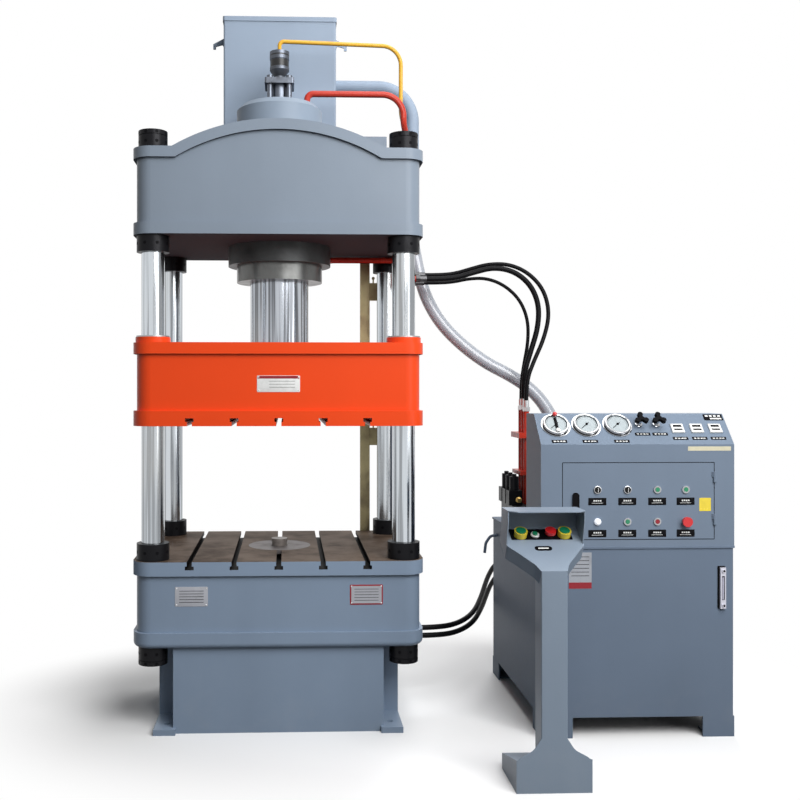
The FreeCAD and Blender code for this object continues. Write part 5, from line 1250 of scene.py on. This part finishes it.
@dataclass
class GaugeFace:
    """Dial, needle and chromed rim of one pressure gauge."""

    name: str
    x: float
    contact: bool = False
    place: float = 0.61
    dial_height: float = 0.010
    rim: Turning = Turning(((0.0545, 0.003), (0.0555, 0.006), (0.0555, 0.0155), (0.0535, 0.0178),
                            (0.050, 0.0184), (0.0470, 0.0172), (0.0462, 0.0150), (0.0462, 0.010)), 64)
    dial: Turning = Turning(((0.0462, 0.0), (0.0462, PROUD), (0.0, PROUD)), 64)
    # painted shadow: black rings at the dial's edge and at the foot of the rim
    dial_edge_shadow: Turning = Turning(((0.0466, 0.0), (0.0466, 0.0012), (0.0442, 0.0012), (0.0442, 0.0)), 64)
    rim_edge_shadow: Turning = Turning(((0.0560, 0.003), (0.0566, 0.0034), (0.0566, 0.0052), (0.0554, 0.0056)), 64)
    hub: Turning = Turning(((0.0055, 0.0), (0.0055, 0.0034), (0.0040, 0.0042), (0.0, 0.0042)), 24)
    ball: Turning = Turning(((0.0, 0.0), (0.0055, 0.0012), (0.0090, 0.0046), (0.0102, 0.0095),
                             (0.0088, 0.0146), (0.0052, 0.0182), (0.0, 0.0195)), 32)
    ball_up_out: Pair = (0.046, 0.014)
    knob: Turning = Turning(((0.010, 0.0), (0.010, 0.010), (0.007, 0.013), (0.0, 0.013)), 24)
    knob_up_out: Pair = (-0.040, 0.012)
    ticks: int = 31
    ticks_in_span: int = 5
    tick_step: float = 9.0
    tick_start: float = 225.0
    tick_radius: float = 0.0395
    long_tick: Plate = Plate((0.0009, 0.0075), 2 * PROUD)
    short_tick: Plate = Plate((0.0009, 0.004), 2 * PROUD)
    needle_degrees: float = 222.0
    needle_radius: float = 0.010
    needle: Plate = Plate((0.0022, 0.046), 0.0024)
    pointer: Plate = Plate((0.012, 0.070), 0.0052, 0.004, 0.0008)

    def build(self) -> None:
        """Make the gauge's face."""
        seat = FACES.slope(self.x, self.place)
        dial = seat.moved(out=self.dial_height)
        Shape().turned(seat, self.rim).finish(self.name + "_rim", Paint.BRIGHT)
        Shape().turned(dial, self.dial).finish(self.name + "_dial", Paint.DIAL)
        # painted shadow: black rings at the dial's edge and round the rim's foot
        edge_shadows = Shape().turned(dial, self.dial_edge_shadow).turned(seat, self.rim_edge_shadow)
        edge_shadows.finish(self.name + "_edges", Paint.INK)
        ink = self._scale(dial).turned(dial, self.hub)
        if self.contact:
            ink.plate(dial, self.pointer)
        ink.finish(self.name + "_needle", Paint.INK)
        if self.contact:
            ball = Shape().turned(seat.moved(0.0, *self.ball_up_out), self.ball)
            ball.finish(self.name + "_ball", Paint.CAP_RED)
            knob = Shape().turned(seat.moved(0.0, *self.knob_up_out), self.knob)
            knob.finish(self.name + "_knob", Paint.WHITE)

    def _scale(self, dial: Seat) -> Shape:
        """Ticks and needle.

        Args:
            dial: Middle of the dial.

        Returns:
            The unfinished shape.
        """
        ink = Shape()
        for k in range(self.ticks):
            angle = math.radians(self.tick_start - self.tick_step * k)
            tick = self.short_tick if k % self.ticks_in_span else self.long_tick
            ink.plate(dial.turned(angle, self.tick_radius), tick)
        return ink.plate(dial.turned(math.radians(self.needle_degrees), self.needle_radius), self.needle)


@dataclass
class PanelMarks:
    """Gauge faces, strips, timers' windows and stem sleeves of the sloping panel."""

    gauges: tuple[float, ...] = (1.187, 1.319, 1.454)
    knobs: Pair = (1.547, 1.623)
    timers: tuple[float, ...] = (1.711, 1.794, 1.875)
    strip_places: Point = (0.10, 0.33, 0.19)
    knob_strip_shift: float = 0.006
    strip: Plate = Plate((0.066, 0.016), 0.0008, 0.002)
    strip_dash: Plate = Plate((0.009, 0.005))
    strip_dashes: tuple[float, ...] = (-0.020, -0.006, 0.008, 0.020)
    corner_place: Pair = (1.886, 0.88)
    corner_label: Plate = Plate((0.084, 0.034), 0.0008, 0.002)
    corner_bar: Plate = Plate((0.050, 0.008))
    corner_bar_place: Pair = (0.010, -0.008)
    corner_dash: Plate = Plate((0.012, 0.009))
    corner_dashes: tuple[float, ...] = (-0.027, -0.009, 0.009, 0.027)
    corner_dashes_up: float = 0.007
    tape_place: Pair = (1.826, 1.222)
    tape: Plate = Plate((0.185, 0.018), corner=0.001)
    timer_place: float = 0.50
    timer_height: float = 0.008
    timer_window: Plate = Plate((0.036, 0.011), corner=0.001)
    timer_window_up: float = 0.010
    timer_wheels: Plate = Plate((0.036, 0.008), corner=0.001)
    timer_wheels_up: float = -0.009
    stem_place: float = 0.62
    stem: Turning = Turning(((0.0150, 0.0), (0.0150, 0.0085), (0.0132, 0.0095), (0.0075, 0.0095),
                             (0.0075, 0.0335), (0.0068, 0.0335)), 32)

    def build(self) -> None:
        """Make every mark of the sloping panel."""
        for index, x in enumerate(self.gauges):
            GaugeFace(f"gauge_{index + 1}", x, contact=index == 0).build()
        self._strips()
        dark = Shape()
        for x in self.timers:
            seat = FACES.slope(x, self.timer_place).moved(out=self.timer_height)
            dark.plate(seat.moved(up=self.timer_window_up), self.timer_window)
            dark.plate(seat.moved(up=self.timer_wheels_up), self.timer_wheels)
        dark.finish("timer_windows", Paint.INK)
        sleeves = Shape()
        for x in self.knobs:
            sleeves.turned(FACES.slope(x, self.stem_place), self.stem)
        sleeves.finish("valve_stem_sleeves", Paint.BRIGHT)

    def _strips(self) -> None:
        """Black strips with pale marks under gauges, knobs and timers, the corner label and the tape."""
        black = Shape()
        pale = Shape()
        at_gauge, at_knob, at_timer = self.strip_places
        places = [(x, at_gauge) for x in self.gauges]
        places += [(x + self.knob_strip_shift, at_knob) for x in self.knobs]
        places += [(x, at_timer) for x in self.timers]
        for place in places:
            seat = FACES.slope(*place)
            black.plate(seat, self.strip)
            pale.dashes(seat.moved(out=self.strip.thickness), self.strip_dashes, self.strip_dash)
        corner = FACES.slope(*self.corner_place)
        black.plate(corner, self.corner_label)
        raised = corner.moved(out=self.corner_label.thickness)
        pale.plate(raised.moved(*self.corner_bar_place), self.corner_bar)
        pale.dashes(raised.moved(up=self.corner_dashes_up), self.corner_dashes, self.corner_dash)
        black.finish("panel_strips", Paint.INK)
        pale.finish("panel_strip_marks", Paint.WHITE)
        Shape().plate(FACES.unit(*self.tape_place), self.tape).finish("panel_tape", Paint.CREAM)


@dataclass
class DoorMarks:
    """Labels, painted shadow of the door's gap and selector trim of the cabinet's door."""

    columns: tuple[float, ...] = (1.345, 1.473, 1.601, 1.723)
    rows: Pair = (1.049, 0.914)
    label_drop: float = 0.050
    label: Plate = Plate((0.077, 0.031), 0.0009, 0.002, 0.0003)
    dash: Plate = Plate((0.0066, 0.0062))
    dashes: tuple[float, ...] = (-0.0135, -0.0045, 0.0045, 0.0135)
    dashes_up: float = 0.0035
    bar: Plate = Plate((0.048, 0.0016))
    bar_up: float = -0.0065
    rim: Turning = Turning(((0.0162, 0.0), (0.0166, 0.0010), (0.0163, 0.0062), (0.0150, 0.0070),
                            (0.0132, 0.0070)), 40)
    well: Turning = Turning(((0.0134, 0.0066), (0.0134, 0.0073), (0.0104, 0.0073)), 40)
    pointer: Plate = Plate((0.0022, 0.019))
    pointer_height: float = 0.0135
    sides: Pair = (1.1965, 1.8465)
    levels: Pair = (0.8385, 1.1635)
    # width of the painted shadow in the door's gap
    gap_shadow_width: float = 0.0028
    plate_place: Pair = (1.807, 0.985)
    plate: Plate = Plate((0.050, 0.056), corner=0.003)

    def build(self) -> None:
        """Make every mark of the door."""
        self._labels()
        rims = Shape()
        wells = Shape()
        for x in self.columns[:2]:
            rims.turned(FACES.unit(x, self.rows[0]), self.rim)
            wells.turned(FACES.unit(x, self.rows[0]), self.well)
        rims.finish("selector_rims", Paint.BRIGHT, Body.DOOR)
        wells.finish("selector_wells", Paint.INK, Body.DOOR)
        self._gap_shadow()
        plate = Shape().plate(FACES.unit(*self.plate_place), self.plate)
        plate.finish("door_plate", Paint.CAP_YELLOW, Body.DOOR)
        for name, x, body in (("left", self.columns[0], Body.LEFT_SELECTOR),
                              ("right", self.columns[1], Body.RIGHT_SELECTOR)):
            mark = Shape().plate(FACES.unit(x, self.rows[0]).moved(out=self.pointer_height), self.pointer)
            mark.finish("selector_mark_" + name, Paint.WHITE, body)

    def _labels(self) -> None:
        """Black labels under the switches."""
        black = Shape()
        pale = Shape()
        for x in self.columns:
            for z in self.rows:
                seat = FACES.unit(x, z - self.label_drop)
                black.plate(seat, self.label)
                raised = seat.moved(out=self.label.thickness)
                pale.dashes(raised.moved(up=self.dashes_up), self.dashes, self.dash)
                pale.plate(raised.moved(up=self.bar_up), self.bar)
        black.finish("door_labels", Paint.INK, Body.DOOR)
        pale.finish("door_label_marks", Paint.WHITE, Body.DOOR)

    def _gap_shadow(self) -> None:
        """Painted shadow: black strips in the gap round the door."""
        (left, right), (low, high) = self.sides, self.levels
        # painted shadow: black strips laid in the door's gap where shade falls
        gap_shadows = Shape()
        for z in self.levels:
            gap_shadows.plate(FACES.unit((left + right) / 2, z), Plate((right - left, self.gap_shadow_width)))
        for x in self.sides:
            gap_shadows.plate(FACES.unit(x, (low + high) / 2), Plate((self.gap_shadow_width, high - low)))
        gap_shadows.finish("door_seal", Paint.INK)


@dataclass
class TankMarks:
    """Sheet label, level gauge and brass fitting of the oil tank."""

    label_place: Pair = (1.272, 0.708)
    label: Plate = Plate((0.097, 0.153), corner=0.002)
    foot: Plate = Plate((0.097, 0.026), corner=0.001)
    foot_up: float = -0.063
    lines: Lines = Lines(6, 0.016, Plate((0.076, 0.0022)))
    lines_up: float = 0.058
    gauge_place: Pair = (1.881, 0.632)
    gauge_floor: float = 0.0103
    window: Plate = Plate((0.0116, 0.1010), 0.0010)
    # painted shadow: black plate standing out to the left of and above the gauge
    side_shadow_place: Pair = (1.8768, 0.634)
    side_shadow: Plate = Plate((0.0325, 0.180), 0.0040, 0.003)
    screw: Turning = Turning(((0.0052, 0.0), (0.0052, PROUD), (0.0, PROUD)), 6)
    screw_reach: float = 0.073
    screw_height: float = 0.0096
    glass: Plate = Plate((0.0068, 0.094), 0.0020, 0.001)
    glass_shift: Pair = (-0.0018, -0.001)
    plug_place: Point = (1.138, 0.006, 0.945)
    plug: Turning = Turning(((0.014, 0.0), (0.014, 0.010), (0.011, 0.012), (0.011, 0.026), (0.009, 0.028),
                             (0.0, 0.028)), 24)

    def build(self) -> None:
        """Make every mark of the tank."""
        place = FACES.unit(*self.label_place)
        Shape().plate(place, self.label).finish("tank_label", Paint.SHEET)
        raised = place.moved(out=self.label.thickness)
        Shape().plate(raised.moved(up=self.foot_up), self.foot).finish("tank_label_foot", Paint.DARK_RED)
        Shape().lines(raised.moved(up=self.lines_up), self.lines).finish("tank_label_lines", Paint.INK)
        self._level_gauge()
        plug = Seat(Vector(self.plug_place), FRONT, UP)
        Shape().turned(plug, self.plug).finish("manifold_plug", Paint.BRASS)

    def _level_gauge(self) -> None:
        """Painted shadow on the gauge's left and top, screw heads, window and glass of the level gauge."""
        seat = FACES.unit(*self.gauge_place).moved(out=self.gauge_floor)
        # painted shadow: black plate beside the gauge where its side lies in shade
        back = Shape().plate(seat, self.window).plate(FACES.unit(*self.side_shadow_place), self.side_shadow)
        for side in SIDES:
            back.turned(seat.moved(up=side * self.screw_reach, out=self.screw_height), self.screw)
        back.finish("level_window", Paint.INK)
        glass = Shape().plate(seat.moved(*self.glass_shift, self.window.thickness), self.glass)
        glass.finish("level_glass", Paint.GLASS)


@dataclass
class StandMarks:
    """Black strip, pill label, switch rims and start cap of the stand."""

    switch_place: float = 0.80
    switches: Pair = (-0.028, 0.030)
    strip_place: Pair = (-0.005, 0.82)
    strip: Plate = Plate((0.236, 0.062), corner=0.003)
    pill_place: Pair = (-0.012, 0.50)
    pill: Plate = Plate((0.066, 0.026), 0.0009, 0.0125, 0.0003)
    pill_bar: Plate = Plate((0.040, 0.006))
    rim: Turning = Turning(((0.0162, 0.0), (0.0165, 0.0008), (0.0163, 0.0058), (0.0150, 0.0066),
                            (0.0102, 0.0066), (0.0099, 0.0060)), 40)
    cap: Turning = Turning(((0.0, 0.0058), (0.0098, 0.0058), (0.0098, 0.0122), (0.0090, 0.0132),
                            (0.0, 0.0134)), 40)

    def build(self) -> None:
        """Make every mark of the stand."""
        Shape().plate(FACES.stand(*self.strip_place), self.strip).finish("stand_strip", Paint.INK)
        place = FACES.stand(*self.pill_place)
        Shape().plate(place, self.pill).finish("stand_pill", Paint.INK)
        bar = Shape().plate(place.moved(out=self.pill.thickness), self.pill_bar)
        bar.finish("stand_pill_mark", Paint.WHITE)
        left, right = (FACES.stand(offset, self.switch_place) for offset in self.switches)
        Shape().turned(left, self.rim).finish("stand_rim_left", Paint.WHITE)
        Shape().turned(right, self.rim).finish("stand_rim_right", Paint.BRIGHT)
        Shape().turned(left, self.cap).finish("stand_start_cap", Paint.GREEN, Body.STAND_START)


@dataclass(frozen=True)
class Lamp:
    """Soft square lamp: its place, target, side in metres, watts, and whether it shows in reflections."""

    name: str
    place: Point
    target: Point
    size: float
    power: float
    glints: bool = True

    def build(self) -> None:
        """Hang the lamp."""
        data = bpy.data.lights.new(self.name, "AREA")
        data.size = self.size
        data.energy = self.power
        lamp = bpy.data.objects.new(self.name, data)
        lamp.location = self.place
        lamp.visible_glossy = self.glints
        lamp.rotation_euler = (Vector(self.target) - Vector(self.place)).to_track_quat("-Z", "Y").to_euler()
        bpy.context.scene.collection.objects.link(lamp)


@dataclass
class Studio:
    """Camera, lamps, floor and sky."""

    eye: Point = (0.035, -4.488, 1.483)
    yaw_degrees: float = 2.05
    lens: float = 42.75
    shift: Pair = (0.0988, -0.01625)
    far_clip: float = 200.0
    floor_size: float = 60.0
    floor_greys: Point = (0.86, 0.90, 0.12)
    middle_x: float = 0.65
    squeeze: float = 0.62
    fade: Pair = (0.85, 1.4)
    ambient: float = 0.16
    lamps: tuple[Lamp, ...] = (
        Lamp("key", (2.0, -3.5, 4.0), (0.2, 0.0, 1.5), 3.2, 252.0),
        Lamp("top", (1.3, -0.6, 5.6), (0.9, 0.0, 0.0), 2.6, 80.0),
        Lamp("fill", (3.6, -3.2, 1.8), (0.8, 0.0, 1.0), 1.8, 22.0),
        Lamp("back", (2.0, 4.8, 4.4), (0.5, 0.2, 1.4), 3.0, 230.0, glints=False),
    )

    def build(self) -> None:
        """Set up the whole studio."""
        self._camera()
        self._floor()
        self._sky()
        for lamp in self.lamps:
            lamp.build()
        bpy.context.scene.view_settings.view_transform = "Standard"

    def _camera(self) -> None:
        """Stand the camera where the photograph was taken from."""
        data = bpy.data.cameras.new("camera")
        data.lens = self.lens
        data.sensor_width = 36.0
        data.shift_x, data.shift_y = self.shift
        data.clip_end = self.far_clip
        camera = bpy.data.objects.new("camera", data)
        camera.location = self.eye
        camera.rotation_euler = (math.radians(90.0), 0.0, math.radians(-self.yaw_degrees))
        bpy.context.scene.collection.objects.link(camera)
        bpy.context.scene.camera = camera

    def _floor(self) -> None:
        """Lay a plain pale floor that keeps the object's shadow and turns white further out."""
        half = self.floor_size / 2
        corners = [(-half, -half, 0.0), (half, -half, 0.0), (half, half, 0.0), (-half, half, 0.0)]
        data = bpy.data.meshes.new("floor")
        data.from_pydata(corners, [], [(0, 1, 2, 3)])
        floor = bpy.data.objects.new("floor", data)
        bpy.context.scene.collection.objects.link(floor)
        graph = Graph(bpy.data.materials.new("pale_floor"))
        seen = self._direct(graph)
        dull, pale, bounce = ((grey,) * 3 for grey in self.floor_greys)
        near = graph.mix(graph.noise(0.8), dull, pale)
        shader = graph.add("ShaderNodeBsdfDiffuse", {}, {"Color": graph.mix(seen, bounce, near)})
        white = graph.add("ShaderNodeEmission", {}, {"Color": (1.0, 1.0, 1.0, 1.0)})
        beside = (graph.axis("X") - self.middle_x) * self.squeeze
        before = graph.axis("Y")
        far = ((beside * beside + before * before) ** 0.5).step(*self.fade) * seen
        graph.close(graph.add("ShaderNodeMixShader", {}, {0: far, 1: shader, 2: white}))
        data.materials.append(graph.holder)
        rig.stage(floor)

    @staticmethod
    def _direct(graph: Graph) -> Signal:
        """Rays of the camera, of mirrors and of glass.

        Args:
            graph: Graph that asks.

        Returns:
            1 for such rays, otherwise 0.
        """
        rays = [graph.add("ShaderNodeLightPath", {}, {}, f"Is {kind} Ray")
                for kind in ("Camera", "Glossy", "Transmission")]
        return rays[0].at_least(rays[1]).at_least(rays[2])

    def _sky(self) -> None:
        """White surround for the camera and reflections, plain light for the rest."""
        world = bpy.data.worlds.new("surround")
        bpy.context.scene.world = world
        graph = Graph(world)
        strength = self.ambient + self._direct(graph) * (1.0 - self.ambient)
        sky = graph.add("ShaderNodeBackground", {}, {"Color": (1.0, 1.0, 1.0, 1.0), "Strength": strength})
        graph.close(sky, "ShaderNodeOutputWorld")


def main() -> None:
    """Build the press's looks in order and note the sizes."""
    logging.basicConfig(level=logging.INFO, format="%(name)s: %(message)s")
    cad_low, cad_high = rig.bounds()
    for part in (Studio(), Hoses(), CadFinishes(), PressMarks(), PanelMarks(), DoorMarks(), TankMarks(),
                 StandMarks()):
        part.build()
    low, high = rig.bounds()
    boxes = {"cad": [list(cad_low), list(cad_high)], "shown": [list(low), list(high)]}
    with open("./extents.json", "w") as out:
        json.dump(boxes, out)


if __name__ == "__main__":
    main()
